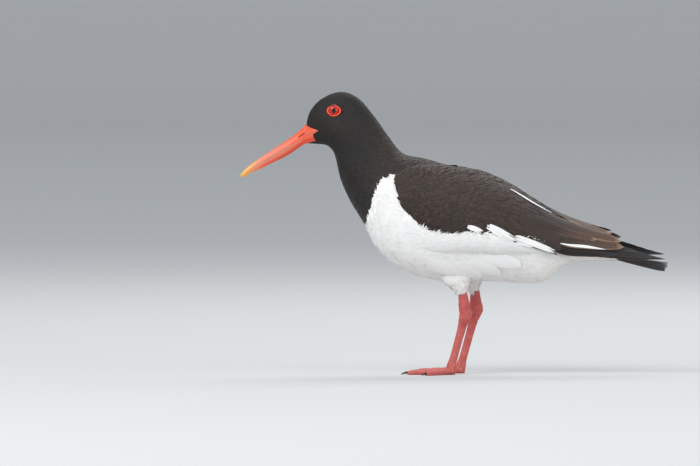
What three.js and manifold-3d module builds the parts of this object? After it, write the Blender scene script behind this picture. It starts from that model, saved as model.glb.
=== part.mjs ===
// An oystercatcher standing still, life size, in millimetres with +Z up.
// The bird faces -X and its left side faces -Y. The floor is z = 0 and the origin is under its middle.
import * as THREE from "three";
import Module from "manifold-3d";

const wasm = await Module();
wasm.setup();
const { Manifold, Mesh: SolidMesh } = wasm;

// Driving sizes
const GAP = 0.3; // between touching nodes
const BODY_SIDES = 32;
const BODY_RINGS = 30;
const UPPER_ROUNDNESS = 1.9; // exponent of the section above its widest point, 2 is an ellipse
const LOWER_ROUNDNESS = 2.15;
const WIDEST_AT = 0.46; // share of the section's height, from below
const EYE = { x: -114.4, z: 253.2, radius: 6.0, y: 10.6 };
const EYE_RING = { length: 14.0, height: 11.6, thick: 1.5 };
const LEG_SPREAD = 19; // each leg's distance from the middle plane
const TARSUS_DEPTH = 8.4;
const TARSUS_WIDTH = 6.0;
const THIGH_END = 12; // the thigh's feathers end this far under the knee
const NOSTRIL = { x: -145, y: 5.6, z: 229.6, length: 9, deep: 3.2, tall: 0.9, lean: 33 };
const PRIMARIES_START = 86.3; // where the folded primaries come out from under the coverts

// Where the body is parted into nodes: a point in the middle plane and the way the cut faces.
const CUTS = {
  head: { at: [-95, 0, 224], facing: [58, 0, -30] },
  neck: { at: [-66.8, 0, 178.2], facing: [67.5, 0, -37.5] },
  torso: { at: [95, 0, 120], facing: [1, 0, 0] },
};

// Side outline of the body from the bill's root to the tail's root:
// back [x, z], underside [x, z] and half the width of the section through both.
const BODY = [
  { back: [-141, 240], under: [-143, 221.5], half: 6.5 },
  { back: [-136.5, 253.5], under: [-131.5, 221], half: 11.5 },
  { back: [-125, 265], under: [-121, 219.5], half: 15.5 },
  { back: [-107.5, 271], under: [-114.5, 213], half: 17 },
  { back: [-91, 265], under: [-111.5, 202.5], half: 17 },
  { back: [-76, 248], under: [-107.5, 186], half: 19 },
  { back: [-62.5, 229], under: [-98.5, 166], half: 23.5 },
  { back: [-48, 212], under: [-85.5, 144.5], half: 31 },
  { back: [-27, 207], under: [-72, 119], half: 38.5 },
  { back: [-1, 199.5], under: [-45, 99], half: 43.5 },
  { back: [26, 194], under: [-8.5, 89], half: 44.5 },
  { back: [53, 178], under: [31.5, 89.3], half: 41.5 },
  { back: [79.5, 160], under: [65.5, 87.8], half: 34 },
  { back: [93, 151], under: [85.5, 88.3], half: 29 },
  { back: [107, 141], under: [99, 98.6], half: 23.5 },
  { back: [125, 130], under: [116, 107.4], half: 18 },
  { back: [143, 119.5], under: [143, 109.4], half: 14 },
];

// The surface on which a folded wing's feathers lie, at stations along X: the height of the top,
// of the widest line and of the lower edge, half the width, and where the wing's upper edge
// lies, in degrees from the top.
const CLOAK = [
  { x: -60, top: 203, waist: 172, half: 34, low: 158, edge: 52 },
  { x: -41, top: 208.5, waist: 165, half: 43, low: 145, edge: 44 },
  { x: -17, top: 203.5, waist: 152, half: 48.5, low: 135, edge: 26 },
  { x: 7, top: 199.5, waist: 143, half: 50.5, low: 134.5, edge: 15 },
  { x: 31, top: 193.5, waist: 138, half: 49.5, low: 133.5, edge: 8 },
  { x: 55, top: 182, waist: 134, half: 46, low: 130, edge: 2.5 },
  { x: 79, top: 167, waist: 129, half: 39.5, low: 124, edge: 1.5 },
  { x: 103, top: 153.5, waist: 121, half: 31, low: 116.5, edge: 1.5 },
  { x: 127, top: 144, waist: 116, half: 23.5, low: 114.5, edge: 1.5 },
  { x: 151, top: 136, waist: 113.5, half: 17, low: 112.5, edge: 2 },
  { x: 175, top: 126.5, waist: 112, half: 11.5, low: 111, edge: 3 },
  { x: 205, top: 117, waist: 110, half: 6.5, low: 109, edge: 4 },
];

const COLOURS = {
  black: new THREE.MeshStandardMaterial({ color: 0x2b2725, roughness: 0.85 }),
  white: new THREE.MeshStandardMaterial({ color: 0xe9e6e0, roughness: 0.9 }),
  bill: new THREE.MeshStandardMaterial({ color: 0xe8552e, roughness: 0.4 }),
  leg: new THREE.MeshStandardMaterial({ color: 0xc8504a, roughness: 0.6 }),
  claw: new THREE.MeshStandardMaterial({ color: 0x2a1d1a, roughness: 0.5 }),
  eye: new THREE.MeshStandardMaterial({ color: 0xb01208, roughness: 0.08 }),
};

// Small helpers

const along = (a, b, t) => a + (b - a) * t;
const radians = (degrees) => (degrees * Math.PI) / 180;
const signedPower = (value, power) => Math.sign(value) * Math.abs(value) ** power;

// A smooth curve through rows of three numbers, asked by row number, whole or not.
function smoothRows(rows) {
  const curve = new THREE.CatmullRomCurve3(
    rows.map((row) => new THREE.Vector3(...row)),
    false,
    "catmullrom",
    0.5,
  );
  return (index) => curve.getPoint(index / (rows.length - 1)).toArray();
}

// A closed solid from rings that each hold the same number of points, in order.
function solidFromRings(rings) {
  const sides = rings[0].length;
  const points = rings.flat();
  const faces = [];
  for (let i = 0; i < rings.length - 1; i += 1) {
    for (let j = 0; j < sides; j += 1) {
      const next = (j + 1) % sides;
      const [a, b] = [i * sides + j, i * sides + next];
      faces.push([a, b, b + sides], [a, b + sides, a + sides]);
    }
  }
  for (const [ring, start] of [
    [rings[0], 0],
    [rings.at(-1), (rings.length - 1) * sides],
  ]) {
    const middle = [0, 1, 2].map((k) => ring.reduce((sum, p) => sum + p[k], 0) / sides);
    const centre = points.push(middle) - 1;
    for (let j = 0; j < sides; j += 1) {
      const edge = [start + j, start + ((j + 1) % sides)];
      faces.push(start === 0 ? [edge[1], edge[0], centre] : [edge[0], edge[1], centre]);
    }
  }
  return solidFromFaces(points, faces);
}

// A solid from points and triangles, turned to face out.
function solidFromFaces(points, faces) {
  const make = (triangles) =>
    new Manifold(
      new SolidMesh({
        numProp: 3,
        vertProperties: new Float32Array(points.flat()),
        triVerts: new Uint32Array(triangles.flat()),
      }),
    );
  const made = make(faces);
  return made.volume() < 0 ? make(faces.map(([a, b, c]) => [a, c, b])) : made;
}

// A geometry's triangles as a solid, with repeated points merged.
function solidFromGeometry(geometry, matrix) {
  const plain = new THREE.BufferGeometry();
  plain.setAttribute("position", geometry.getAttribute("position"));
  plain.applyMatrix4(matrix);
  const position = plain.getAttribute("position");
  const index = geometry.index ? [...geometry.index.array] : [...Array(position.count).keys()];
  const places = new Map();
  const points = [];
  const renamed = index.map((i) => {
    const point = [position.getX(i), position.getY(i), position.getZ(i)];
    const key = point.map((value) => Math.round(value * 1000)).join();
    if (!places.has(key)) places.set(key, points.push(point) - 1);
    return places.get(key);
  });
  const faces = [];
  for (let i = 0; i < renamed.length; i += 3) {
    const face = renamed.slice(i, i + 3);
    if (new Set(face).size === 3) faces.push(face);
  }
  return solidFromFaces(points, faces);
}

// Only the largest closed surface of a solid.
function largest(solid) {
  const pieces = solid.decompose();
  return pieces.reduce((best, piece) => (piece.volume() > best.volume() ? piece : best));
}

// Both sides of a thin cut through a point, across a direction in the middle plane.
function parted(solid, point, direction) {
  const length = Math.hypot(...direction);
  const normal = direction.map((value) => value / length);
  const offset = normal.reduce((sum, value, k) => sum + value * point[k], 0);
  const after = solid.trimByPlane(normal, offset + GAP / 2);
  const before = solid.trimByPlane(normal.map((value) => -value), -(offset - GAP / 2));
  return [before, after];
}

const mirrored = (solid) => solid.mirror([0, 1, 0]);

const bird = new THREE.Group();

function addNode(name, solid, material) {
  const mesh = largest(solid).getMesh();
  const geometry = new THREE.BufferGeometry();
  geometry.setAttribute("position", new THREE.BufferAttribute(mesh.vertProperties, 3));
  geometry.setIndex(new THREE.BufferAttribute(mesh.triVerts, 1));
  geometry.computeVertexNormals();
  const node = new THREE.Mesh(geometry, material);
  node.name = name;
  bird.add(node);
}

// Head, neck, torso and rump, one smooth form

const backLine = smoothRows(BODY.map((s) => [s.back[0], s.half, s.back[1]]));
const underLine = smoothRows(BODY.map((s) => [s.under[0], 0, s.under[1]]));

// One section of the body, grown outwards by some millimetres.
function bodyRing(index, grow) {
  const [backX, half, backZ] = backLine(index);
  const [underX, , underZ] = underLine(index);
  const height = Math.hypot(backX - underX, backZ - underZ);
  const up = [(backX - underX) / height, (backZ - underZ) / height];
  const waist = height * WIDEST_AT;
  const ring = [];
  for (let j = 0; j < BODY_SIDES; j += 1) {
    const turn = (2 * Math.PI * j) / BODY_SIDES;
    const upper = Math.cos(turn) >= 0;
    const power = 2 / (upper ? UPPER_ROUNDNESS : LOWER_ROUNDNESS);
    const reach = (upper ? height - waist : waist) + grow;
    const rise = waist + reach * signedPower(Math.cos(turn), power);
    const side = (half + grow) * signedPower(Math.sin(turn), power);
    ring.push([underX + up[0] * rise, side, underZ + up[1] * rise]);
  }
  return ring;
}

function bodySolid(grow) {
  const rings = [];
  for (let i = 0; i <= BODY_RINGS; i += 1) {
    rings.push(bodyRing((i * (BODY.length - 1)) / BODY_RINGS, grow));
  }
  return solidFromRings(rings);
}

const body = bodySolid(0);
const bodyKeepOut = bodySolid(GAP * 1.6);

// Bill: an upper and a lower half that meet at the line of the mouth

const BILL = [
  // from the tip to inside the head: ridge, mouth and keel [x, z], half width at the mouth
  { ridge: [-204.6, 190.4], mouth: [-204.8, 189.9], keel: [-204.4, 189.4], half: 0.6 },
  { ridge: [-201, 195], mouth: [-201.5, 191.8], keel: [-199.5, 190], half: 1.5 },
  { ridge: [-194.5, 200.8], mouth: [-194.5, 195.9], keel: [-194.5, 193], half: 2.2 },
  { ridge: [-185, 207.8], mouth: [-185, 201.9], keel: [-185, 197.1], half: 2.9 },
  { ridge: [-175.5, 214], mouth: [-175.5, 207.4], keel: [-175.5, 201.6], half: 3.4 },
  { ridge: [-166, 220.3], mouth: [-166, 212.6], keel: [-166, 206.1], half: 3.9 },
  { ridge: [-156, 227], mouth: [-156, 218], keel: [-156, 211.5], half: 4.6 },
  { ridge: [-147, 234], mouth: [-147, 223.5], keel: [-147, 217.7], half: 5.6 },
  { ridge: [-141, 239.6], mouth: [-140, 228.4], keel: [-142, 220.8], half: 6.4 },
  { ridge: [-135, 241.5], mouth: [-131, 233], keel: [-134, 223], half: 6.6 },
  { ridge: [-127, 242], mouth: [-125, 235], keel: [-127, 226], half: 5.5 },
];
const BILL_ARC = 6; // steps from the mouth over the ridge to the other side

// One half of the bill; which is "ridge" or "keel".
function billHalf(which, grow) {
  const side = which === "ridge" ? 1 : -1;
  const rings = BILL.map((s, i) => {
    const deeper = i === BILL.length - 1 ? grow * 2 : 0;
    const [mouthX, mouthZ] = s.mouth;
    const [farX, farZ] = s[which];
    const ring = [];
    for (let j = 0; j <= BILL_ARC; j += 1) {
      const turn = (Math.PI * j) / BILL_ARC;
      const rise = Math.sin(turn) ** 0.9;
      const spread = (s.half + grow) * Math.cos(turn);
      const clear = (side * GAP) / 2 - (grow > 0 ? side * GAP : 0);
      ring.push([
        along(mouthX, farX, rise) + deeper,
        spread,
        along(mouthZ + clear, farZ + side * grow, rise),
      ]);
    }
    return ring;
  });
  return solidFromRings(rings);
}

function billRootKeepOut() {
  return Manifold.union([billHalf("ridge", GAP), billHalf("keel", GAP)]);
}

// Nostril: a long slit through each side of the upper half.
function nostril(side) {
  const { x, y, z, length, deep, tall, lean } = NOSTRIL;
  const matrix = new THREE.Matrix4().makeRotationY(radians(lean));
  matrix.premultiply(new THREE.Matrix4().makeTranslation(x, side * y, z));
  return solidFromGeometry(new THREE.BoxGeometry(length, deep, tall), matrix);
}

const upperBill = billHalf("ridge", 0).subtract(Manifold.union([nostril(-1), nostril(1)]));
const lowerBill = billHalf("keel", 0);

// Eyes: a ball in a socket, and the bare ring of the lids round it

function eyeBall(side, grow) {
  const matrix = new THREE.Matrix4().makeTranslation(EYE.x, side * EYE.y, EYE.z);
  return solidFromGeometry(new THREE.SphereGeometry(EYE.radius + grow, 16, 11), matrix);
}

function eyeRing(side, grow) {
  const long = EYE_RING.length / 2 - EYE_RING.thick / 2;
  const tall = EYE_RING.height / 2 - EYE_RING.thick / 2;
  const ring = new THREE.TorusGeometry(1, (EYE_RING.thick / 2 + grow) / long, 5, 18);
  const matrix = new THREE.Matrix4()
    .makeScale(long, tall, long)
    .premultiply(new THREE.Matrix4().makeRotationX(radians(90)))
    .premultiply(new THREE.Matrix4().makeTranslation(EYE.x, side * (EYE.y + 4.4), EYE.z));
  return solidFromGeometry(ring, matrix);
}

const eyesKeepOut = Manifold.union([
  eyeBall(-1, GAP),
  eyeBall(1, GAP),
  eyeRing(-1, GAP),
  eyeRing(1, GAP),
]);

const [headWhole, belowHead] = parted(body, CUTS.head.at, CUTS.head.facing);
const head = headWhole.subtract(billRootKeepOut()).subtract(eyesKeepOut);
const [neck, belowNeck] = parted(belowHead, CUTS.neck.at, CUTS.neck.facing);
const [torso, rump] = parted(belowNeck, CUTS.torso.at, CUTS.torso.facing);

// Wings: feathers lie on the cloak's surface

const cloakLine = smoothRows(CLOAK.map((s) => [s.x, s.top, s.waist]));
const cloakSide = smoothRows(CLOAK.map((s) => [s.half, s.low, s.edge]));

// Row number of the cloak at a place along X.
function cloakIndex(x) {
  let [low, high] = [0, CLOAK.length - 1];
  for (let step = 0; step < 30; step += 1) {
    const middle = (low + high) / 2;
    if (cloakLine(middle)[0] < x) low = middle;
    else high = middle;
  }
  return (low + high) / 2;
}

// The right wing's tip lies this much above the left one's.
const TIP_LIFT = 4.5;
let lift = 0; // the lift of the wing that is being built

// A point on the left wing's surface: x along the bird, share across the wing from its upper
// edge, 0, to its lower edge, 1, and height above the surface.
function onWing(x, share, rise) {
  const index = cloakIndex(x);
  const [, top, waist] = cloakLine(index);
  const [half, low, edge] = cloakSide(index);
  const height = top - waist;
  const first = radians(edge);
  const last = Math.acos(THREE.MathUtils.clamp((low - waist) / height, -0.9, 0.9));
  const turn = along(first, last, share);
  const normal = [Math.sin(turn) / half, Math.cos(turn) / height];
  const length = Math.hypot(...normal);
  const raised = lift * THREE.MathUtils.smoothstep(x, 125, 175);
  return [
    x,
    -half * Math.sin(turn) - (rise * normal[0]) / length,
    waist + height * Math.cos(turn) + (rise * normal[1]) / length + raised,
  ];
}

// A band of the wing between two depths. Each column has an x, its shares from and to, and
// the depths inner and outer. A column may have another inner depth below THIN_FROM.
const THIN_FROM = 0.56;
const BAND_STEPS = 8;
function wingBand(columns, grow = 0) {
  const rings = columns.map((c, i) => {
    const outer = [];
    const inner = [];
    const x = c.x + (i === 0 ? -grow : 0) + (i === columns.length - 1 ? grow : 0);
    const wider = grow / 60;
    for (let j = 0; j <= BAND_STEPS; j += 1) {
      const share = along(c.from - wider, c.to + wider, j / BAND_STEPS);
      const edge = Math.min(j, BAND_STEPS - j) === 0 ? (c.edge ?? 0) : 0;
      outer.push(onWing(x, share, c.outer + grow - edge));
      const depth = share > THIN_FROM ? (c.thin ?? c.inner) : c.inner;
      inner.unshift(onWing(x, share, depth - grow));
    }
    return [...outer, ...inner];
  });
  return solidFromRings(rings);
}

// Steady pseudo-random numbers from 0 to 1, so that every build is the same.
let seed = 7;
function chance() {
  seed = (seed * 16807) % 2147483647;
  return seed / 2147483647;
}
const vary = (value, amount) => value * (1 + amount * (2 * chance() - 1));

// Length in millimetres of the whole share from 0 to 1 at a place along X.
function wingArc(x) {
  const [a, b] = [onWing(x, 0.45, 0), onWing(x, 0.55, 0)];
  return 10 * Math.hypot(a[1] - b[1], a[2] - b[2]);
}

const VANE_SHAPE = [
  // share of the length, width as a share of the whole
  [0, 0.6],
  [0.5, 1],
  [0.9, 0.84],
  [1, 0.3],
];
const VANE_CROWN = 0.45; // the shaft's line stands above the edges

// One feather lying on the wing. Its root and tip are [x, share]. The root is sunk in the wing
// and the tip stands clear, and a roll lets neighbours lie like roof tiles.
function wingVane({ root, tip, width, thick, sunk = 1, clear = 1, roll = 0.35, grow = 0 }) {
  const rings = VANE_SHAPE.map(([t, wide]) => {
    const x = along(root[0], tip[0], t) + (t === 0 ? -grow : 0) + (t === 1 ? grow : 0);
    const share = along(root[1], tip[1], t);
    const half = ((width * wide) / 2 + grow) / wingArc(x);
    const rise = along(-sunk, clear, Math.min(1, t * 1.25)) + grow;
    const deep = along(thick, Math.min(thick, 0.6), t ** 4) + 2 * grow;
    const points = [-1, 0, 1].map((k) => [
      THREE.MathUtils.clamp(share + k * half, 0.01 - (k + 1) * 0.01, 1.02 + k * 0.01),
      rise - k * roll + (k ? 0 : VANE_CROWN),
    ]);
    const upper = points.map(([at, height]) => onWing(x, at, height));
    const lower = points.map(([at, height]) => onWing(x, at, height - deep)).reverse();
    return [...upper, ...lower];
  });
  return solidFromRings(rings);
}

// A row of feathers from one root line to one tip line, the hindmost first.
function vaneRow({ count, roots, tips, width, thick, clear }) {
  const row = [];
  for (let i = 0; i < count; i += 1) {
    const t = i / (count - 1);
    row.push(
      wingVane({
        root: [along(roots[0][0], roots[1][0], t), along(roots[0][1], roots[1][1], t)],
        tip: [
          along(tips[0][0], tips[1][0], t) + 3 * (chance() - 0.5),
          along(tips[0][1], tips[1][1], t),
        ],
        width: vary(width, 0.06),
        thick,
        clear,
      }),
    );
  }
  return row;
}

const WING_DEPTH = -15;
function covertsCore() {
  const whole = { from: 0, to: 1, inner: WING_DEPTH, outer: 0 };
  return wingBand([
    { x: -61, from: 0.12, to: 0.9, inner: WING_DEPTH, outer: -3.5, edge: 1 },
    { x: -57, from: 0.05, to: 0.95, inner: WING_DEPTH, outer: -1.6, edge: 1.5 },
    { x: -50, from: 0.0, to: 1, inner: WING_DEPTH, outer: -0.4, edge: 2 },
    ...[-38, -22, -4, 14, 32].map((x) => ({ x, ...whole, edge: 2 })),
    ...[50, 68].map((x) => ({ x, ...whole, edge: 1.5 })),
    { x: 86, ...whole, inner: -7, edge: 1 },
  ]);
}

// What carries the tertials: deep near the back, thin where the primaries lie under it.
function tertialsCore(grow = 0) {
  return wingBand(
    [
      { x: 80, from: 0, to: 0.86, inner: -8, thin: -1.4, outer: 0 },
      { x: 102, from: 0, to: 0.85, inner: -5, thin: -1.4, outer: 0 },
      { x: 122, from: 0, to: 0.8, inner: -3, thin: -1.4, outer: 0 },
      { x: 140, from: 0.06, to: 0.74, inner: -1.4, outer: 0 },
      { x: 153, from: 0.28, to: 0.68, inner: -1.2, outer: -0.2 },
    ],
    grow,
  );
}

function tertialVanes(grow = 0) {
  const rows = [
    { root: [84, 0.66], tip: [140, 0.8], width: 15 },
    { root: [76, 0.52], tip: [163, 0.62], width: 21 },
    { root: [70, 0.36], tip: [152, 0.42], width: 22 },
    { root: [64, 0.19], tip: [137, 0.21], width: 21 },
  ];
  return rows.map((row) => wingVane({ ...row, thick: 1.7, sunk: 0.9, clear: 0.8, grow }));
}

function covertVanes() {
  return [
    ...vaneRow({
      count: 6,
      roots: [[58, 0.72], [-22, 0.86]],
      tips: [[92, 0.78], [8, 0.93]],
      width: 16,
      thick: 2,
      clear: 0.9,
    }),
    ...vaneRow({
      count: 5,
      roots: [[50, 0.5], [-32, 0.66]],
      tips: [[78, 0.56], [-6, 0.75]],
      width: 19,
      thick: 2,
      clear: 1.1,
    }),
    ...vaneRow({
      count: 5,
      roots: [[58, 0.13], [-38, 0.3]],
      tips: [[94, 0.15], [-6, 0.38]],
      width: 22,
      thick: 2,
      clear: 1.2,
    }),
  ];
}

// The folded primaries: the longest lies lowest, and each shorter one covers it.
const PRIMARIES = [
  { root: [100, 0.84], tip: [204, 0.86], width: 12 },
  { root: [99, 0.78], tip: [196, 0.74], width: 12 },
  { root: [98, 0.72], tip: [185, 0.66], width: 12.5 },
  { root: [97, 0.68], tip: [173, 0.6], width: 13 },
  { root: [96, 0.64], tip: [162, 0.54], width: 13 },
];
function primariesWhole() {
  const core = wingBand([
    { x: PRIMARIES_START, from: 0.62, to: 1, inner: -6, outer: -2.4 },
    { x: 110, from: 0.6, to: 1, inner: -5.5, outer: -2.4 },
    { x: 135, from: 0.5, to: 1, inner: -5, outer: -2.6 },
    { x: 158, from: 0.45, to: 0.98, inner: -4.6, outer: -2.8 },
    { x: 178, from: 0.5, to: 0.96, inner: -4.4, outer: -3 },
    { x: 194, from: 0.62, to: 0.94, inner: -4.2, outer: -3.2 },
  ]);
  const vanes = PRIMARIES.map((row, i) =>
    wingVane({ ...row, thick: 1.6, sunk: 3.2 - i * 0.2, clear: -2.5 + i * 0.3, roll: 0.3 }),
  );
  return Manifold.union([core, ...vanes]);
}

// Both solids of one wing, built as a left wing.
function foldedWing(tipLift) {
  lift = tipLift;
  seed = 7;
  const feathers = [...tertialVanes(), ...covertVanes()];
  const whole = Manifold.union([covertsCore(), tertialsCore(), ...feathers]);
  const clearance = Manifold.union([tertialsCore(GAP), ...tertialVanes(GAP)]);
  const primaries = primariesWhole().trimByPlane([1, 0, 0], PRIMARIES_START);
  return {
    wing: whole.trimByPlane([0, -1, 0], 0.35).subtract(bodyKeepOut),
    primaries: primaries.subtract(bodyKeepOut).subtract(clearance),
  };
}

// Tail: twelve feathers in a slightly arched fan, the middle pair on top

const TAIL = { x: 143.4, z: 115, length: 62.6, drop: 11.2, spread: 15, width: 13, arch: 0.009 };
const TAIL_FEATHERS = 12;

function tailVane(index) {
  const out = index - (TAIL_FEATHERS - 1) / 2;
  const share = out / ((TAIL_FEATHERS - 1) / 2);
  const stack = -0.42 * Math.abs(out);
  const length = TAIL.length - 2.5 * share * share - (Math.abs(out) > 5 ? 1 : 0);
  const rings = [
    [0, 0.75],
    [0.6, 0.95],
    [0.94, 0.92],
    [1, 0.55],
  ].map(([t, wide]) => {
    const centre = share * along(8.5, TAIL.spread, t);
    const half = (TAIL.width * wide * along(0.75, 1, t)) / 2;
    const deep = along(1.5, 0.6, t);
    const upper = [-1, 0, 1].map((k) => {
      const y = centre + k * half;
      const crown = (k ? 0 : 0.3) - Math.sign(out) * k * 0.22;
      const sag = TAIL.arch * y * y * along(0.5, 1, t);
      return [TAIL.x + length * t, y, TAIL.z - TAIL.drop * t - sag + stack * along(0.4, 1, t) + crown];
    });
    const lower = upper.map(([x, y, z]) => [x, y, z - deep]).reverse();
    return [...upper, ...lower];
  });
  return solidFromRings(rings);
}

function tailBase() {
  const rings = [
    [TAIL.x, 12.5, 118, 109.6],
    [TAIL.x + 8, 12, 115.5, 109.4],
    [TAIL.x + 15, 9.5, 113, 109.4],
  ].map(([x, half, top, bottom]) => {
    const ring = [];
    for (let j = 0; j < 12; j += 1) {
      const turn = (2 * Math.PI * j) / 12;
      const [middle, reach] = [(top + bottom) / 2, (top - bottom) / 2];
      ring.push([x, half * Math.sin(turn), middle + reach * Math.cos(turn)]);
    }
    return ring;
  });
  return solidFromRings(rings);
}

const tailVanes = [];
for (let i = 0; i < TAIL_FEATHERS; i += 1) tailVanes.push(tailVane(i));
const tail = Manifold.union([tailBase(), ...tailVanes]).subtract(bodyKeepOut);

// Legs: a tube through stations [x, z, half depth, half width] on one leg's own plane

function limb(stations, y, sides) {
  const rings = stations.map((s, i) => {
    const before = stations[Math.max(0, i - 1)];
    const after = stations[Math.min(stations.length - 1, i + 1)];
    const length = Math.hypot(after[0] - before[0], after[1] - before[1]);
    const across = [(before[1] - after[1]) / length, (after[0] - before[0]) / length];
    const ring = [];
    for (let j = 0; j < sides; j += 1) {
      const turn = (2 * Math.PI * j) / sides;
      const out = s[2] * Math.cos(turn);
      ring.push([s[0] + across[0] * out, y + s[3] * Math.sin(turn), s[1] + across[1] * out]);
    }
    return ring;
  });
  return solidFromRings(rings);
}

const halfDepth = TARSUS_DEPTH / 2;
const halfWidth = TARSUS_WIDTH / 2;
const LEGS = [
  { name: "left", y: -LEG_SPREAD, knee: [7.7, 88], heel: [12, 58], foot: [-0.5, 7] },
  { name: "right", y: LEG_SPREAD, knee: [20.5, 90], heel: [22.5, 61], foot: [7.5, 6] },
];

function bareLeg(leg) {
  const [kx, kz] = leg.knee;
  const [hx, hz] = leg.heel;
  const [fx, fz] = leg.foot;
  const mix = (t) => [along(hx, fx, t), along(hz, fz, t)];
  return limb(
    [
      [kx, kz, 3.3, 3.0],
      [along(kx, hx, 0.45), along(kz, hz, 0.45), 4.6, 3.6],
      [along(kx, hx, 0.8), along(kz, hz, 0.8), 5.8, 4.4],
      [hx + 0.3, hz, 6.0, 4.6],
      [...mix(0.12), 5.3, 4.2],
      [...mix(0.25), halfDepth + 0.3, halfWidth + 0.3],
      [...mix(0.55), halfDepth, halfWidth],
      [...mix(0.85), halfDepth - 0.1, halfWidth + 0.2],
      [...mix(0.96), halfDepth + 0.4, halfWidth + 1],
      [fx - 0.5, fz - 3.2, halfDepth + 0.6, halfWidth + 1.2],
    ],
    leg.y,
    10,
  );
}

const TOES = [
  { name: "inner", angle: 25, length: 32, thick: 2.6 },
  { name: "middle", angle: -6, length: 41, thick: 2.9 },
  { name: "outer", angle: -50, length: 36, thick: 2.7 },
];
const TOE_SIDES = 8;
const CLAW_LENGTH = 6.5;
const TOE_ROOT = 14; // where a toe parts from the foot, from the foot's middle

// A toe lying on the floor from the foot's middle, in the direction of -X turned by its angle.
function toeTube(leg, toe) {
  const inward = -Math.sign(leg.y);
  const heading = [-Math.cos(radians(toe.angle)), inward * Math.sin(radians(toe.angle))];
  const centre = [leg.foot[0] - 1, leg.y];
  const place = (distance) => centre.map((value, k) => value + heading[k] * distance);
  const tube = (rows) =>
    solidFromRings(
      rows.map(([distance, height, radius]) => {
        const [x, y] = place(distance);
        const ring = [];
        for (let j = 0; j < TOE_SIDES; j += 1) {
          const turn = (2 * Math.PI * j) / TOE_SIDES;
          const side = radius * Math.cos(turn);
          const up = radius * Math.sin(turn);
          ring.push([x - heading[1] * side, y + heading[0] * side, height + up]);
        }
        return ring;
      }),
    );
  const r = toe.thick;
  const whole = tube([
    [-5, 3.0, r - 0.4],
    [-2, 3.3, r + 0.7],
    [6, 3.1, r + 0.5],
    [toe.length * 0.35, 2.5, r + 0.1],
    [toe.length * 0.42, 2.4, r - 0.2],
    [toe.length * 0.6, 2.3, r],
    [toe.length * 0.68, 2.1, r - 0.35],
    [toe.length * 0.88, 1.9, r - 0.2],
    [toe.length, 1.5, r - 1.3],
  ]).trimByPlane([0, 0, 1], 0);
  const claw = tube([
    [toe.length + GAP, 2.0, 1.3],
    [toe.length + CLAW_LENGTH * 0.4, 1.9, 1.05],
    [toe.length + CLAW_LENGTH * 0.75, 1.2, 0.7],
    [toe.length + CLAW_LENGTH, 0.45, 0.3],
  ]).trimByPlane([0, 0, 1], 0);
  const normal = [heading[0], heading[1], 0];
  const [nearFoot, farToe] = parted(whole, [...place(TOE_ROOT), 0], normal);
  return { nearFoot, farToe, claw };
}

// Feathered thigh: it comes out of the belly and ends round the top of the bare leg.
function thigh(leg) {
  const [kx, kz] = leg.knee;
  const end = kz - THIGH_END;
  return limb(
    [
      [kx + 6, kz + 22, 20, 15],
      [kx + 2, kz + 4, 15, 11],
      [kx, kz - 4, 9.5, 7.5],
      [kx + 0.6, end - 2, 5.2, 4.8],
    ],
    leg.y,
    18,
  )
    .trimByPlane([0, 0, 1], end)
    .subtract(bodyKeepOut);
}

for (const leg of LEGS) {
  const whole = bareLeg(leg);
  const [kx, kz] = leg.knee;
  const [, belowThigh] = parted(whole, [kx, 0, kz - THIGH_END - GAP / 2], [0, 0, -1]);
  const [shin, belowHeel] = parted(belowThigh, [leg.heel[0], 0, leg.heel[1]], [-0.3, 0, -1]);
  const shank = [leg.foot[0] - leg.heel[0], 0, leg.foot[1] - leg.heel[1]];
  const footTop = [along(leg.foot[0], leg.heel[0], 0.08), 0, along(leg.foot[1], leg.heel[1], 0.08)];
  const [tarsus, footCore] = parted(belowHeel, footTop, shank);
  const toes = TOES.map((toe) => ({ toe, ...toeTube(leg, toe) }));
  const roots = toes.map((t) => t.nearFoot);
  const [, foot] = parted(Manifold.union([footCore, ...roots]), footTop, shank);
  addNode(`thigh_${leg.name}`, thigh(leg), COLOURS.white);
  addNode(`shin_${leg.name}`, shin, COLOURS.leg);
  addNode(`tarsus_${leg.name}`, tarsus, COLOURS.leg);
  addNode(`foot_${leg.name}`, foot.trimByPlane([0, 0, 1], 0), COLOURS.leg);
  for (const { toe, farToe, claw } of toes) {
    addNode(`toe_${leg.name}_${toe.name}`, farToe, COLOURS.leg);
    addNode(`claw_${leg.name}_${toe.name}`, claw, COLOURS.claw);
  }
}

const SIDES = { left: -1, right: 1 };
for (const [name, side] of Object.entries(SIDES)) {
  const facing = side < 0 ? (solid) => solid : mirrored;
  addNode(`eye_${name}`, eyeBall(side, 0), COLOURS.eye);
  addNode(`eye_ring_${name}`, eyeRing(side, 0).subtract(eyeBall(side, GAP)), COLOURS.bill);
  const { wing, primaries } = foldedWing(side < 0 ? 0 : TIP_LIFT);
  addNode(`wing_${name}`, facing(wing), COLOURS.black);
  addNode(`primaries_${name}`, facing(primaries), COLOURS.black);
}

addNode("head", head, COLOURS.black);
addNode("neck", neck, COLOURS.black);
addNode("torso", torso, COLOURS.white);
addNode("rump", rump, COLOURS.white);
addNode("tail", tail, COLOURS.black);
addNode("bill_upper", upperBill, COLOURS.bill);
addNode("bill_lower", lowerBill, COLOURS.bill);

// The origin goes to the floor under the middle of the bird's box.
const box = new THREE.Box3().setFromObject(bird);
const middle = box.getCenter(new THREE.Vector3());
bird.position.set(-middle.x, -middle.y, -box.min.z);

export default bird;
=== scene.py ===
import math
from collections import namedtuple

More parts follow.
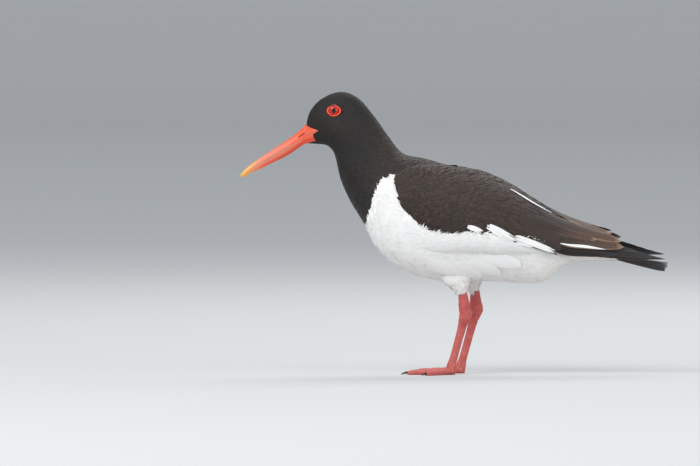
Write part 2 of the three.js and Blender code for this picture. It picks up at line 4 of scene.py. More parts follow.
import bpy
import numpy as np
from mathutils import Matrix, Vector


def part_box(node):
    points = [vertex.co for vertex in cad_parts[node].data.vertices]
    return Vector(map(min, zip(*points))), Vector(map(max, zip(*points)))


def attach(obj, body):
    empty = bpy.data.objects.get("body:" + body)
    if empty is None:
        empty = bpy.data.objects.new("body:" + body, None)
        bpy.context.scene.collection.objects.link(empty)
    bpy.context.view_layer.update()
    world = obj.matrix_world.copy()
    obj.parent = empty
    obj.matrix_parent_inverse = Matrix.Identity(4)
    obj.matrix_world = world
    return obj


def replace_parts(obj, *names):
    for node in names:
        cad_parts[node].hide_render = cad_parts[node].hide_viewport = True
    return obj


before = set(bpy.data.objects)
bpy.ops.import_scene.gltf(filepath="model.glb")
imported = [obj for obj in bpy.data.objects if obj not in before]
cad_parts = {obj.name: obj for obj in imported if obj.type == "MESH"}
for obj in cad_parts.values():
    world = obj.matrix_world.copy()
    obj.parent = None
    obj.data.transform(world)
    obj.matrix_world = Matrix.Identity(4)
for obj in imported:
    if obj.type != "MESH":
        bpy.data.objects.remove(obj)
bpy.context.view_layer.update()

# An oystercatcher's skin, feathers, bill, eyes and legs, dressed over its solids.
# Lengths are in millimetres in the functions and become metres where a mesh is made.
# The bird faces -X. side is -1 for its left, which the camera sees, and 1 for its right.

MM = 0.001
TAU = 2 * np.pi
TAIL_TIP_X = 206.0  # the tail's tip in the sizes below
SHIFT = np.array([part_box("tail")[1].x / MM - TAIL_TIP_X, 0, 0])
SIDES = {"left": -1, "right": 1}

# Driving sizes
COAT_DEPTH = 1.5  # how far the skin lies under the feathers' tips
WIDEST_AT = 0.46  # share of a body section's height, from below
UPPER_ROUNDNESS = 1.9
LOWER_ROUNDNESS = 2.15
TIP_LIFT = 4.5  # the right wing's tip stands this much higher than the left one's
EYE = {"x": -114.4, "y": 10.6, "z": 253.2, "radius": 6.5, "iris": 4.8, "pupil": (1.9, 2.5)}
EYE_RING = {"inner": (5.1, 4.3), "outer": (6.95, 5.4), "proud": 0.75}
EYE_CLEAR = (7.3, 5.9)  # half length and half height of the place round the eye without feathers
NOSTRIL = {"x": -145.0, "z": 229.6, "half_length": 4.4, "half_width": 0.6, "lean": 35, "deep": 1.0}
LEG_SPREAD = 19.0

# Side outline of the body: back x, z, underside x, z, and half the width
BODY = np.array(
    [
        [-141, 240, -143, 221.5, 6.5],
        [-136.5, 253.5, -131.5, 221, 11.5],
        [-125, 265, -121, 219.5, 15.5],
        [-107.5, 271, -114.5, 213, 17],
        [-91, 265, -111.5, 202.5, 17],
        [-76, 248, -107.5, 186, 19],
        [-62.5, 229, -98.5, 166, 23.5],
        [-48, 212, -85.5, 144.5, 31],
        [-27, 207, -72, 119, 38.5],
        [-1, 199.5, -45, 99, 43.5],
        [26, 194, -8.5, 89, 44.5],
        [53, 178, 31.5, 89.3, 41.5],
        [79.5, 160, 65.5, 87.8, 34],
        [93, 151, 85.5, 88.3, 29],
        [107, 141, 99, 98.6, 23.5],
        [125, 130, 116, 107.4, 18],
        [143, 119.5, 143, 109.4, 14],
    ],
    float,
)
BODY_END = len(BODY) - 1

# The surface of the folded wings: x, top, widest height, half width, lower edge, and where the
# upper edge lies in degrees from the top
CLOAK = np.array(
    [
        [-60, 203, 172, 34, 158, 52],
        [-41, 208.5, 165, 43, 145, 44],
        [-17, 203.5, 152, 48.5, 135, 26],
        [7, 199.5, 143, 50.5, 134.5, 15],
        [31, 193.5, 138, 49.5, 133.5, 8],
        [55, 182, 134, 46, 130, 2.5],
        [79, 167, 129, 39.5, 124, 1.5],
        [103, 153.5, 121, 31, 116.5, 1.5],
        [127, 144, 116, 23.5, 114.5, 1.5],
        [151, 136, 113.5, 17, 112.5, 2],
        [175, 126.5, 112, 11.5, 111, 3],
        [205, 117, 110, 6.5, 109, 4],
    ],
    float,
)

# Lower edge of the wing's dark feathers: x and height
DARK_EDGE = np.array(
    [
        [-62, 166], [-55, 150], [-41, 146], [-26.9, 141], [-19, 134], [-13, 133], [-7, 135.5],
        [10, 137], [22, 137.5], [26, 133.5], [29, 138], [36, 137], [45, 134], [52, 129], [58, 130.5],
        [69, 132.5], [74, 133.5], [84, 128.5], [88, 124], [92, 119], [96, 112], [210, 90],
    ],
    float,
)

# Edge of the dark bib and the white shoulder: x and height
BIB_EDGE = np.array(
    [
        [-150, 143.5], [-90, 143.5], [-84, 144.5], [-83.2, 149], [-81.6, 155.5], [-79.7, 162],
        [-78, 168], [-76.8, 173.8], [-74.9, 178.6], [-72.5, 183], [-69, 187], [-64, 190], [-58, 191],
        [-53.3, 190.2], [-48, 186], [-20, 168], [60, 150], [100, 146], [112, 170], [210, 170],
    ],
    float,
)

# Bill, from its tip to inside the head: ridge, mouth and keel as x, z, and half the width
BILL = np.array(
    [
        [-204.6, 190.4, -204.8, 189.9, -204.4, 189.4, 0.6],
        [-201, 195, -201.5, 191.8, -199.5, 190, 1.5],
        [-194.5, 200.8, -194.5, 195.9, -194.5, 193, 2.2],
        [-185, 207.8, -185, 201.9, -185, 197.1, 2.9],
        [-175.5, 214, -175.5, 207.4, -175.5, 201.6, 3.4],
        [-166, 220.3, -166, 212.6, -166, 206.1, 3.9],
        [-156, 227, -156, 218, -156, 211.5, 4.6],
        [-147, 234, -147, 223.5, -147, 217.7, 5.6],
        [-141, 239.6, -140, 228.4, -142, 220.8, 6.4],
        [-135, 241.5, -131, 233, -134, 223, 6.6],
        [-127, 242, -125, 235, -127, 226, 5.5],
    ],
    float,
)

# Where the feathers of the face begin, from the bill's ridge past the gape to the chin: x, z
FACE_EDGE = np.array(
    [
        [-141.6, 239.4], [-136.3, 236.4], [-131.5, 234.8], [-129.1, 233.8], [-134.4, 230.4],
        [-133.4, 226.6], [-131.5, 224.2], [-144, 220.3],
    ],
    float,
)
GAPE = np.array([-129.1, 233.8])

# Colours, linear
BLACK = (0.0125, 0.0108, 0.0102)
BLACK_BROWN = (0.028, 0.0195, 0.0155)
# A brown for the tertials' roots, also used as painted sheen on the top of the back, the crown and the
# wings
BROWN_AND_SHEEN = (0.038, 0.027, 0.022)
RUST = (0.105, 0.05, 0.032)
TERTIAL_BROWN = (0.095, 0.054, 0.038)
FRINGE = (0.3, 0.19, 0.13)
WHITE = (0.86, 0.85, 0.835)
# A warmer white, also mixed in as painted shade under the rear of the body
WARM_WHITE = (0.78, 0.74, 0.69)
TAIL_BLACK = (0.02, 0.0165, 0.015)
# Painted sheen: the blue cast at the tips of the primaries
PAINTED_BLUE_SHEEN = (0.03, 0.033, 0.04)

rng = np.random.default_rng(11)


# Small helpers


def smooth_rows(table, at):
    """Rows of a table at fractional row numbers, on a smooth curve through them."""
    at = np.clip(np.asarray(at, float), 0, len(table) - 1)
    low = np.clip(np.floor(at).astype(int), 0, len(table) - 2)
    t = (at - low)[..., None]
    before = table[np.maximum(low - 1, 0)]
    a, b = table[low], table[low + 1]
    after = table[np.minimum(low + 2, len(table) - 1)]
    before = np.where((low == 0)[..., None], 2 * a - b, before)
    after = np.where((low == len(table) - 2)[..., None], 2 * b - a, after)
    return 0.5 * (
        2 * a
        + (b - before) * t
        + (2 * before - 5 * a + 4 * b - after) * t**2
        + (3 * a - before - 3 * b + after) * t**3
    )


def mix(a, b, t):
    t = np.asarray(t)[..., None]
    return np.asarray(a) * (1 - t) + np.asarray(b) * t


def step(low, high, value):
    t = np.clip((value - low) / (high - low), 0, 1)
    return t * t * (3 - 2 * t)


def powered(value, power):
    return np.sign(value) * np.abs(value) ** power


def stack(*parts):
    """Arrays or numbers side by side along a new last axis."""
    return np.stack(np.broadcast_arrays(*parts), -1)


def grid(p_range, rows, q_range, columns, closed=False):
    """The p and q of a grid over a surface. A closed grid leaves out its last column."""
    p, q = np.linspace(*p_range, rows), np.linspace(*q_range, columns, endpoint=not closed)
    return np.meshgrid(p, q, indexing="ij")


def colour_along(stops, at):
    """A colour from stops of [place, red, green, blue]."""
    stops = np.array(stops, float)
    return stack(*(np.interp(at, stops[:, 0], stops[:, k]) for k in (1, 2, 3)))


def wave_noise(points, size, seed):
    """Smooth noise from -1 to 1 made of a few waves, for points in millimetres."""
    made = np.random.default_rng(seed)
    total = 0
    for _ in range(7):
        direction = made.normal(size=3)
        direction /= np.linalg.norm(direction) * size / made.uniform(4, 9)
        total = total + np.sin(points @ direction + made.uniform(0, 6.28))
    return total / 4


def inside(points, outline_points):
    """Which x, z places lie inside a closed outline."""
    x, z = points[..., 0], points[..., 1]
    found = np.zeros(x.shape, bool)
    for a, b in zip(outline_points, np.roll(outline_points, -1, axis=0)):
        if a[1] != b[1]:
            crossing = (a[1] > z) != (b[1] > z)
            found ^= crossing & (x < (b[0] - a[0]) * (z - a[1]) / (b[1] - a[1]) + a[0])
    return found


# Surfaces: the body and the folded wings


def body_section(u):
    row = smooth_rows(BODY, u)
    back, under, half = row[..., 0:2], row[..., 2:4], row[..., 4]
    height = np.linalg.norm(back - under, axis=-1)
    up = (back - under) / height[..., None]
    return under, up, height, half


def body_surface(u, a, grow=0.0):
    """Point of the body. u is the row of BODY, a the angle from the back, positive to the right."""
    under, up, height, half = body_section(u)
    waist = height * WIDEST_AT
    upper = np.cos(a) >= 0
    power = np.where(upper, 2 / UPPER_ROUNDNESS, 2 / LOWER_ROUNDNESS)
    reach = np.where(upper, height - waist, waist) + grow
    rise = waist + reach * powered(np.cos(a), power)
    side = (half + grow) * powered(np.sin(a), power)
    x = under[..., 0] + up[..., 0] * rise
    z = under[..., 1] + up[..., 1] * rise
    return stack(x, side, z)


def body_place(x, z):
    """Row, angle and half width of the body's right side at a place seen from the side."""
    x, z = np.asarray(x, float), np.asarray(z, float)
    low, high = np.zeros(x.shape), np.full(x.shape, float(BODY_END))
    for _ in range(36):
        middle = (low + high) / 2
        under, up, _, _ = body_section(middle)
        behind = (x - under[..., 0]) * up[..., 1] > (z - under[..., 1]) * up[..., 0]
        low, high = np.where(behind, middle, low), np.where(behind, high, middle)
    under, up, height, half = body_section(low)
    rise = (x - under[..., 0]) * up[..., 0] + (z - under[..., 1]) * up[..., 1]
    waist = height * WIDEST_AT
    upper = rise > waist
    share = np.clip((rise - waist) / np.where(upper, height - waist, waist), -1, 1)
    power = np.where(upper, 2 / UPPER_ROUNDNESS, 2 / LOWER_ROUNDNESS)
    a = np.arccos(np.clip(powered(share, 1 / power), -1, 1))
    return low, a, half * np.sin(a) ** power


def cloak_row(x):
    xs = CLOAK[:, 0]
    at = np.interp(x, xs, np.arange(len(xs)))
    for _ in range(3):
        error = x - smooth_rows(CLOAK, at)[..., 0]
        at = np.clip(at + error / 24, 0, len(xs) - 1)
    return smooth_rows(CLOAK, at)


def wing_angles(x):
    """Height of the widest line, rise to the top, half width, and the angles of both edges."""
    row = cloak_row(x)
    top, waist, half, low, edge = (row[..., k] for k in range(1, 6))
    height = top - waist
    last = np.arccos(np.clip((low - waist) / height, -0.9, 0.9))
    return waist, height, half, np.radians(edge), last


def wing_surface(x, share, side):
    """Point of a folded wing. share runs from its upper edge, 0, to its lower edge, 1."""
    waist, height, half, first, last = wing_angles(x)
    turn = first * (1 - share) + last * share
    lift = (TIP_LIFT if side > 0 else 0) * step(125, 175, x)
    return stack(x, side * half * np.sin(turn), waist + height * np.cos(turn) + lift)


def wing_share(x, z):
    """Share of the wing's width at a place seen from the side."""
    waist, height, _, first, last = wing_angles(np.asarray(x, float))
    turn = np.arccos(np.clip((z - waist) / height, -1, 1))
    return (turn - first) / (last - first)


def frame_on(surface, p, q, dp, dq):
    """Point, both tangents per unit and the normal of a surface at p, q."""
    here = surface(p, q)
    along = (surface(p + dp, q) - surface(p - dp, q)) / (2 * dp)
    across = (surface(p, q + dq) - surface(p, q - dq)) / (2 * dq)
    normal = np.cross(along, across)
    normal /= np.maximum(np.linalg.norm(normal, axis=-1, keepdims=True), 1e-9)
    return here, along, across, normal


# Meshes


def grid_faces(rows, columns, closed):
    """Four-sided faces between the points of a grid."""
    last = columns if closed else columns - 1
    i, j = np.meshgrid(np.arange(rows - 1), np.arange(last), indexing="ij")
    k = (j + 1) % columns
    corners = [i * columns + j, i * columns + k, (i + 1) * columns + k, (i + 1) * columns + j]
    return stack(*corners).reshape(-1, 4)


def halved(quads):
    quads = np.asarray(quads)
    return np.concatenate([quads[:, [0, 1, 2]], quads[:, [0, 2, 3]]])


def facing_out(points, triangles):
    """The triangles of a closed mesh, turned so that they face out."""
    a, b, c = (points[triangles[:, k]] for k in range(3))
    volume = np.einsum("ij,ij->i", a, np.cross(b, c)).sum()
    return triangles if volume > 0 else triangles[:, ::-1]


def closed_tube(rings):
    """A closed mesh through rings of points, with both ends filled."""
    rows, columns = rings.shape[:2]
    points = rings.reshape(-1, 3)
    parts = [halved(grid_faces(rows, columns, True))]
    j = np.arange(columns)
    for first, order in ((0, -1), ((rows - 1) * columns, 1)):
        centre = len(points)
        points = np.vstack([points, points[first : first + columns].mean(0)])
        parts.append(stack(first + j, first + (j + 1) % columns, centre)[:, ::order])
    triangles = np.concatenate(parts)
    return points, facing_out(points, triangles)


def slab(outer, inner):
    """A closed mesh between two grids of points."""
    rows, columns = outer.shape[:2]
    count = rows * columns
    points = np.concatenate([outer.reshape(-1, 3), inner.reshape(-1, 3)])
    top = grid_faces(rows, columns, False)
    number = np.arange(count).reshape(rows, columns)
    walls = []
    for line in (number[0], number[:, -1], number[-1, ::-1], number[::-1, 0]):
        walls.append(stack(line[1:], line[:-1], line[:-1] + count, line[1:] + count))
    quads = np.concatenate([top, top[:, ::-1] + count, *walls])
    return points, facing_out(points, halved(quads))


def make_object(name, points, faces, material, shades=None, maps=None, vane=None, normals=None):
    """A mesh from points in millimetres. shades holds a colour for each point or one for all,
    maps places in the flat map, vane places between a feather's barbs, and normals one normal
    for each corner of each face."""
    mesh = bpy.data.meshes.new(name)
    place = (points + SHIFT) * MM
    count = faces.shape[1]
    mesh.vertices.add(len(place))
    mesh.vertices.foreach_set("co", place.astype(np.float32).ravel())
    mesh.loops.add(faces.size)
    mesh.loops.foreach_set("vertex_index", faces.astype(np.int32).ravel())
    mesh.polygons.add(len(faces))
    mesh.polygons.foreach_set("loop_start", np.arange(0, faces.size, count, dtype=np.int32))
    mesh.polygons.foreach_set("use_smooth", np.ones(len(faces), bool))
    mesh.update(calc_edges=True)
    if shades is not None:
        layer = mesh.color_attributes.new("shade", "FLOAT_COLOR", "POINT")
        rgba = np.ones((len(points), 4), np.float32)
        rgba[:, :3] = np.clip(shades, 0, 0.95)
        layer.data.foreach_set("color", rgba.ravel())
    if maps is not None:
        layer = mesh.uv_layers.new(name="OFBake")
        layer.data.foreach_set("uv", maps[faces.ravel()].astype(np.float32).ravel())
    if vane is not None:
        layer = mesh.attributes.new("vane", "FLOAT_VECTOR", "POINT")
        layer.data.foreach_set("vector", vane.astype(np.float32).ravel())
    if normals is not None:
        mesh.normals_split_custom_set(normals.tolist())
    thing = bpy.data.objects.new(name, mesh)
    bpy.context.scene.collection.objects.link(thing)
    mesh.materials.append(material)
    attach(thing, "root")
    return thing


# Materials


def shader(name, **inputs):
    """A principled material and its node tree; each input is set on the shader's own socket."""
    material = bpy.data.materials.new(name)
    material.use_nodes = True
    tree = material.node_tree
    bsdf = tree.nodes["Principled BSDF"]
    for key, value in inputs.items():
        bsdf.inputs[key.replace("_", " ")].default_value = value
    return material, tree, bsdf


def read_attribute(tree, name):
    node = tree.nodes.new("ShaderNodeAttribute")
    node.attribute_name = name
    return node


def scaled_colour(tree, colour, factor, low, high, bsdf):
    """The colour times a factor that runs from low to high."""
    tone = tree.nodes.new("ShaderNodeMapRange")
    tone.inputs["To Min"].default_value = low
    tone.inputs["To Max"].default_value = high
    tree.links.new(factor, tone.inputs["Value"])
    painted = tree.nodes.new("ShaderNodeVectorMath")
    painted.operation = "SCALE"
    tree.links.new(colour, painted.inputs[0])
    tree.links.new(tone.outputs["Result"], painted.inputs["Scale"])
    tree.links.new(painted.outputs["Vector"], bsdf.inputs["Base Color"])


def bump(tree, height, bsdf, strength, distance):
    node = tree.nodes.new("ShaderNodeBump")
    node.inputs["Strength"].default_value = strength
    node.inputs["Distance"].default_value = distance
    tree.links.new(height, node.inputs["Height"])
    tree.links.new(node.outputs["Normal"], bsdf.inputs["Normal"])


def texture(tree, kind, place=None, **inputs):
    """A texture node with its inputs set. place is the socket that it reads its place from."""
    node = tree.nodes.new("ShaderNodeTex" + kind)
    for key, value in inputs.items():
        node.inputs[key.replace("_", " ")].default_value = value
    if place is not None:
        tree.links.new(place, node.inputs["Vector"])
    return node


def arithmetic(tree, operation, *values):
    """The result of a sum over numbers and sockets."""
    node = tree.nodes.new("ShaderNodeMath")
    node.operation = operation
    for socket, value in zip(node.inputs, values):
        if isinstance(value, float):
            socket.default_value = value
        else:
            tree.links.new(value, socket)
    return node.outputs["Value"]


def own_place(tree):
    return tree.nodes.new("ShaderNodeTexCoord").outputs["Object"]


def own_shade(tree):
    return read_attribute(tree, "shade").outputs["Color"]


def painted_material(name, **inputs):
    """A material with the colours of the mesh's points."""
    material, tree, bsdf = shader(name, **inputs)
    tree.links.new(own_shade(tree), bsdf.inputs["Base Color"])
    return material


def feather_material(name, tones, **inputs):
    """Barbs run slantwise from the shaft, and streaks of tone follow them."""
    material, tree, bsdf = shader(name, **inputs)
    vane = read_attribute(tree, "vane").outputs["Vector"]
    wave = texture(tree, "Wave", vane, Scale=0.8, Distortion=2.0, Detail=2.0, Detail_Scale=0.9)
    wave.wave_type = "BANDS"
    wave.bands_direction = "X"
    noise = texture(tree, "Noise", vane, Scale=0.55, Detail=4.0)
    tone = arithmetic(tree, "MULTIPLY_ADD", wave.outputs["Fac"], 0.35, noise.outputs["Fac"])
    scaled_colour(tree, own_shade(tree), tone, *tones, bsdf)
    bump(tree, wave.outputs["Fac"], bsdf, 0.3, 0.00015)
    return material


def horn_material():
    """The bill: smooth horn with faint streaks along it."""
    material, tree, bsdf = shader(
        "horn", Roughness=0.36, Coat_Weight=0.25, Coat_Roughness=0.22, Specular_IOR_Level=0.45,
        Subsurface_Weight=0.12, Subsurface_Radius=(0.0012, 0.0004, 0.0002), Subsurface_Scale=1.0,
    )
    turned = tree.nodes.new("ShaderNodeMapping")
    turned.inputs["Rotation"].default_value = (0, math.radians(37), 0)
    turned.inputs["Scale"].default_value = (90, 700, 900)
    tree.links.new(own_place(tree), turned.inputs["Vector"])
    noise = texture(tree, "Noise", turned.outputs["Vector"], Scale=1.0, Detail=3.0)
    scaled_colour(tree, own_shade(tree), noise.outputs["Fac"], 0.86, 1.12, bsdf)
    bump(tree, noise.outputs["Fac"], bsdf, 0.25, 0.0002)
    return material


def leg_material():
    """Bare leg skin of small rounded scales."""
    material, tree, bsdf = shader("leg_skin", Roughness=0.5, Specular_IOR_Level=0.4)
    place = own_place(tree)
    cells = texture(tree, "Voronoi", place, Scale=620.0).outputs["Distance"]
    blotches = texture(tree, "Noise", place, Scale=330.0, Detail=5.0).outputs["Fac"]
    tone = arithmetic(tree, "SUBTRACT", blotches, arithmetic(tree, "MULTIPLY", cells, 0.3))
    scaled_colour(tree, own_shade(tree), tone, 0.72, 1.45, bsdf)
    bump(tree, arithmetic(tree, "SUBTRACT", 1.0, cells), bsdf, 0.7, 0.0004)
    return material


DARK_FEATHER = feather_material(
    "dark_feathers", (0.55, 1.5), Roughness=0.6, Sheen_Weight=0.05, Sheen_Roughness=0.5,
    Specular_IOR_Level=0.3,
)
WHITE_FEATHER = feather_material(
    "white_feathers", (0.9, 1.08), Roughness=0.75, Sheen_Weight=0.03, Sheen_Roughness=0.5,
    Specular_IOR_Level=0.2,
)
SKIN = painted_material("skin", Roughness=0.9)
HORN = horn_material()
LEG_SKIN = leg_material()


# Markings, the same for the skin and the coat, with painted sheen on the top of the back, the crown and
# the wings, and painted shade under the rear


def body_white(points):
    """Where the body is white, from 0 to 1, for points in millimetres."""
    edge = np.interp(points[..., 0], BIB_EDGE[:, 0], BIB_EDGE[:, 1])
    ragged = wave_noise(points, 9, 3)
    return step(-0.8, 0.8, edge + ragged - points[..., 2])


def body_shade(points):
    x, z = points[..., 0], points[..., 2]
    white = body_white(points)
    # Painted sheen: the top of the back is mixed towards a lighter brown where light from above falls on
    # it
    back = step(196, 212, z) * step(-75, -40, x)
    dark = mix(BLACK, BLACK_BROWN, step(-95, -50, x))
    cheek = np.exp(-(((x + 112) / 10) ** 2) - ((z - 238) / 9) ** 2)
    dark = mix(dark, BLACK_BROWN, cheek * 0.55)
    # Painted sheen: the crown of the head, lit from above, is mixed a little towards the lighter brown
    crown = step(262, 271, z)
    dark = mix(dark, BROWN_AND_SHEEN, np.maximum(back * 0.7, crown * 0.25))
    tinge = 0.5 + 0.5 * wave_noise(points, 60, 8)
    # Painted shade: the white is mixed warmer and darker under the rear, where shade falls
    rear_shade = step(60, 110, x) * (1 - step(112, 126, z))
    pale = mix(WHITE, WARM_WHITE, np.clip(tinge * 0.25 + rear_shade * 0.6, 0, 1))
    return mix(dark, pale, white)


def wing_shade(points):
    x, z = points[..., 0], points[..., 2]
    edge = np.interp(x, DARK_EDGE[:, 0], DARK_EDGE[:, 1])
    white = step(-1, 1, edge + 1.2 * wave_noise(points, 8, 5) - z)
    # Painted sheen: the wing's top is mixed towards a lighter brown where light from above falls on it
    high = step(150, 200, z + 0.35 * x)
    dark = mix(BLACK_BROWN, BROWN_AND_SHEEN, high)
    return mix(dark, WHITE, white)


# Where each surface lies in the flat map for baking: low corner and size
BODY_MAP = (0.02, 0.02, 0.56, 0.96)
WING_MAPS = {-1: (0.62, 0.02, 0.36, 0.38), 1: (0.62, 0.42, 0.36, 0.38)}
THIGH_MAPS = {-1: (0.62, 0.83, 0.1, 0.15), 1: (0.74, 0.83, 0.1, 0.15)}
TAIL_MAP = (0.86, 0.83, 0.12, 0.15)
PATCH = 0.003  # width of one feather's place in the map


def on_map(area, s, t):
    """A place in one area of the flat map, for shares s and t."""
    left, low, wide, tall = area
    return stack(left + wide * np.clip(s, 0, 1), low + tall * np.clip(t, 0, 1))


def body_map(u, a):
    return on_map(BODY_MAP, u / BODY_END, (a + np.pi) % TAU / TAU)


def wing_map(side):
    reach = CLOAK[-1, 0] - CLOAK[0, 0]
    return lambda x, share: on_map(WING_MAPS[side], (x - CLOAK[0, 0]) / reach, share)


def limb_map(area, stations):
    """Places in the flat map for p along a number of stations and q all round them."""
    return lambda p, q: on_map(area, p / stations, q % TAU / TAU)


# Skin

UNDER_WHITE = 0.7  # the grey of the layer under white feathers


def body_skin():
    u, a = grid((0, BODY_END), 150, (-np.pi, np.pi), 96, closed=True)
    points, faces = closed_tube(body_surface(u, a, -COAT_DEPTH))
    maps = np.concatenate([body_map(u, a).reshape(-1, 2), body_map(np.array([0, BODY_END]), np.zeros(2))])
    return make_object("skin", points, faces, SKIN, body_shade(points), maps)


# Feathers

MOST_TRIANGLES = 190000  # in one object of feathers
RISE_POWER = 1.25  # above 1, a feather lifts more towards its tip

# What feathers are laid on: a surface with places p and q, the steps of p and q that its slopes are
# measured over, their limits, 1 or -1 where its normal points out or in, and its flat map
Bed = namedtuple("Bed", "surface steps limits facing flat")


def vane_template(columns, rows):
    """Across and along values and triangles of a closed, lens-shaped vane.
    The upper and lower faces share the outline's points."""
    across = np.linspace(-1, 1, columns)
    along = np.linspace(0, 1, rows) ** 0.9
    top = {}
    points = []
    for i in range(rows):
        for j in range(columns):
            top[i, j] = len(points)
            points.append((across[j], along[i], 1.0))
    bottom = {}
    for i in range(rows):
        for j in range(columns):
            if i in (0, rows - 1) or j in (0, columns - 1):
                bottom[i, j] = top[i, j]
            else:
                bottom[i, j] = len(points)
                points.append((across[j], along[i], -1.0))
    faces = []
    for i in range(rows - 1):
        for j in range(columns - 1):
            corners = ((i, j), (i, j + 1), (i + 1, j + 1), (i + 1, j))
            a, b, c, d = (top[corner] for corner in corners)
            faces += [(a, c, b), (a, d, c)]
            a, b, c, d = (bottom[corner] for corner in corners)
            faces += [(a, b, c), (a, c, d)]
    return np.array(points), np.array(faces)


SMALL_VANE = vane_template(3, 5)
MIDDLE_VANE = vane_template(5, 7)
LARGE_VANE = vane_template(9, 20)

# A feather's form, unless its kind says otherwise. fray and bend are shares of the length, crown is
# a share of the width, shaft and thick are millimetres, tilt turns the light aside towards the
# edges, turn and scatter are angles, and stop can hold the p and q of the tips. Each kind says how
# pointed it is, from 0 to 1.
USUAL_FORM = {
    "fray": 0.0, "bend": 0.0, "crown": 0.03, "shaft": 0.0, "thick": 0.16, "tilt": 0.12, "turn": 0.0,
    "scatter": 0.08, "stop": None, "material": DARK_FEATHER,
}


def outline(t, pointed):
    """Half width of a feather along its length, as a share of its widest."""
    rounded = np.sqrt(np.clip(1 - np.clip((t - 0.6) / 0.4, 0, 1) ** 2, 0, 1))
    sharp = 1 - np.clip((t - 0.35) / 0.65, 0, 1) ** 1.6
    body = 0.45 + 0.55 * np.clip(t / 0.35, 0, 1) ** 0.7
    return body * (rounded * (1 - pointed) + sharp * pointed) + 0.02


def repeated(triangles, points_each, count):
    """The triangles of many vanes in one mesh, from those of one."""
    return (np.arange(count)[:, None, None] * points_each + triangles).reshape(-1, 3)


def patches(places, shape):
    """A small patch of the flat map for each feather."""
    spread = stack(shape[:, 0] * 0.5, shape[:, 1] - 0.5) * PATCH
    return (places[:, None] + spread).reshape(-1, 2)


def feather_points(bed, template, root, heading, size, rise, form):
    """Points, triangles, places between barbs and normals of feathers. root holds p and q, heading
    the way that each feather points, and rise the heights of its root and tip."""
    surface, steps, (low_p, high_p, low_q, high_q), facing, _ = bed
    shape, triangles = template
    v, t, face = shape.T
    count, each = len(size), len(shape)
    length, width = size[:, 0:1], size[:, 1:2]
    half = width / 2 * outline(t, form["pointed"])
    forward = length * (t + form["fray"] * rng.normal(0, 1, (count, each)) * t**3)
    bend = form["bend"] * rng.normal(0, 1, (count, 1)) * length * t**2
    sideways = half * v + bend
    cos, sin = heading[:, 0:1], heading[:, 1:2]
    p, q = root[:, 0:1], root[:, 1:2]
    _, along, across, _ = frame_on(surface, root[:, 0], root[:, 1], *steps)
    per_p = np.maximum(np.linalg.norm(along, axis=-1), 1e-6)[:, None]
    per_q = np.maximum(np.linalg.norm(across, axis=-1), 1e-6)[:, None]
    if form["stop"] is None:
        at_p = p + (forward * cos - sideways * sin) / per_p
        at_q = q + (forward * sin + sideways * cos) / per_q
    else:
        centre_p = p + (form["stop"][:, 0:1] - p) * t
        centre_q = q + (form["stop"][:, 1:2] - q) * t
        _, along_t, across_t, _ = frame_on(surface, centre_p, centre_q, *steps)
        at_p = centre_p - sideways * sin / np.linalg.norm(along_t, axis=-1)
        at_q = centre_q + sideways * cos / np.linalg.norm(across_t, axis=-1)
    kept_p = np.clip(at_p, low_p, high_p)
    spot, _, _, normal = frame_on(surface, kept_p, np.clip(at_q, low_q, high_q), *steps)
    bulge = 1 - v**2
    height = rise[:, 0:1] + (rise[:, 1:2] - rise[:, 0:1]) * t**RISE_POWER
    crown = form["crown"] * width * bulge * (0.3 + 0.7 * t)
    shaft = form["shaft"] * np.exp(-((v / 0.1) ** 2)) * (1 - 0.7 * t) * (face > 0)
    body = form["thick"] / 2 * face * bulge * np.sin(np.pi * np.clip(t, 0.04, 0.96))
    total = height + crown + shaft + body
    along, across = (along / per_p)[:, None], (across / per_q)[:, None]
    points = spot + facing * normal * total[..., None]
    points = points + ((at_p - kept_p) * per_p)[..., None] * along
    if facing < 0:
        triangles = triangles[:, ::-1]
    faces = repeated(triangles, each, count)
    soft = facing * normal + form["tilt"] * v[:, None] * across - 0.06 * along
    upper = np.tile([1, 1, -1, -1], len(faces) // 4)
    soft = soft.reshape(-1, 3)[faces] * upper[:, None, None]
    barbs = np.abs(v) * width * 0.5 + length * t * 0.9
    local = stack(barbs, v * half, rng.uniform(0, 50, (count, 1)))
    return points, faces, local.reshape(-1, 3), soft


def lay(name, bed, template, root, size, rise, paint, **options):
    """Feathers on a surface as one or more objects, each under the limit of triangles."""
    form = {**USUAL_FORM, **options}
    count = len(root)
    if form["stop"] is None:
        turn = form["turn"] + rng.normal(0, form["scatter"], count)
        heading = stack(np.cos(turn), np.sin(turn))
    else:
        start, along, across, _ = frame_on(bed.surface, root[:, 0], root[:, 1], *bed.steps)
        way = bed.surface(form["stop"][:, 0], form["stop"][:, 1]) - start
        parts = [(way * d).sum(-1) / np.linalg.norm(d, axis=-1) for d in (along, across)]
        heading = stack(*parts) / np.hypot(*parts)[:, None]
        size = stack(np.linalg.norm(way, axis=-1), size[:, 1])
    points, faces, local, soft = feather_points(bed, template, root, heading, size, rise, form)
    shape = template[0]
    each, per_feather = len(shape), len(template[1])
    shades = paint(points, shape).reshape(-1, 3)
    maps = patches(bed.flat(root[:, 0], root[:, 1]), shape)
    points = points.reshape(-1, 3)
    material = form["material"]
    most = MOST_TRIANGLES // per_feather
    for part, start in enumerate(range(0, count, most)):
        stop = min(count, start + most)
        a, b = start * each, stop * each
        first, last = start * per_feather, stop * per_feather
        make_object(
            f"{name}_{part + 1}", points[a:b], faces[first:last] - a, material, shades[a:b],
            maps[a:b], local[a:b], soft[first:last].reshape(-1, 3),
        )


def of_centre(points, shape, shade_of):
    """The surface's own colour at each feather's middle."""
    return shade_of(points[:, len(shape) // 2, :])


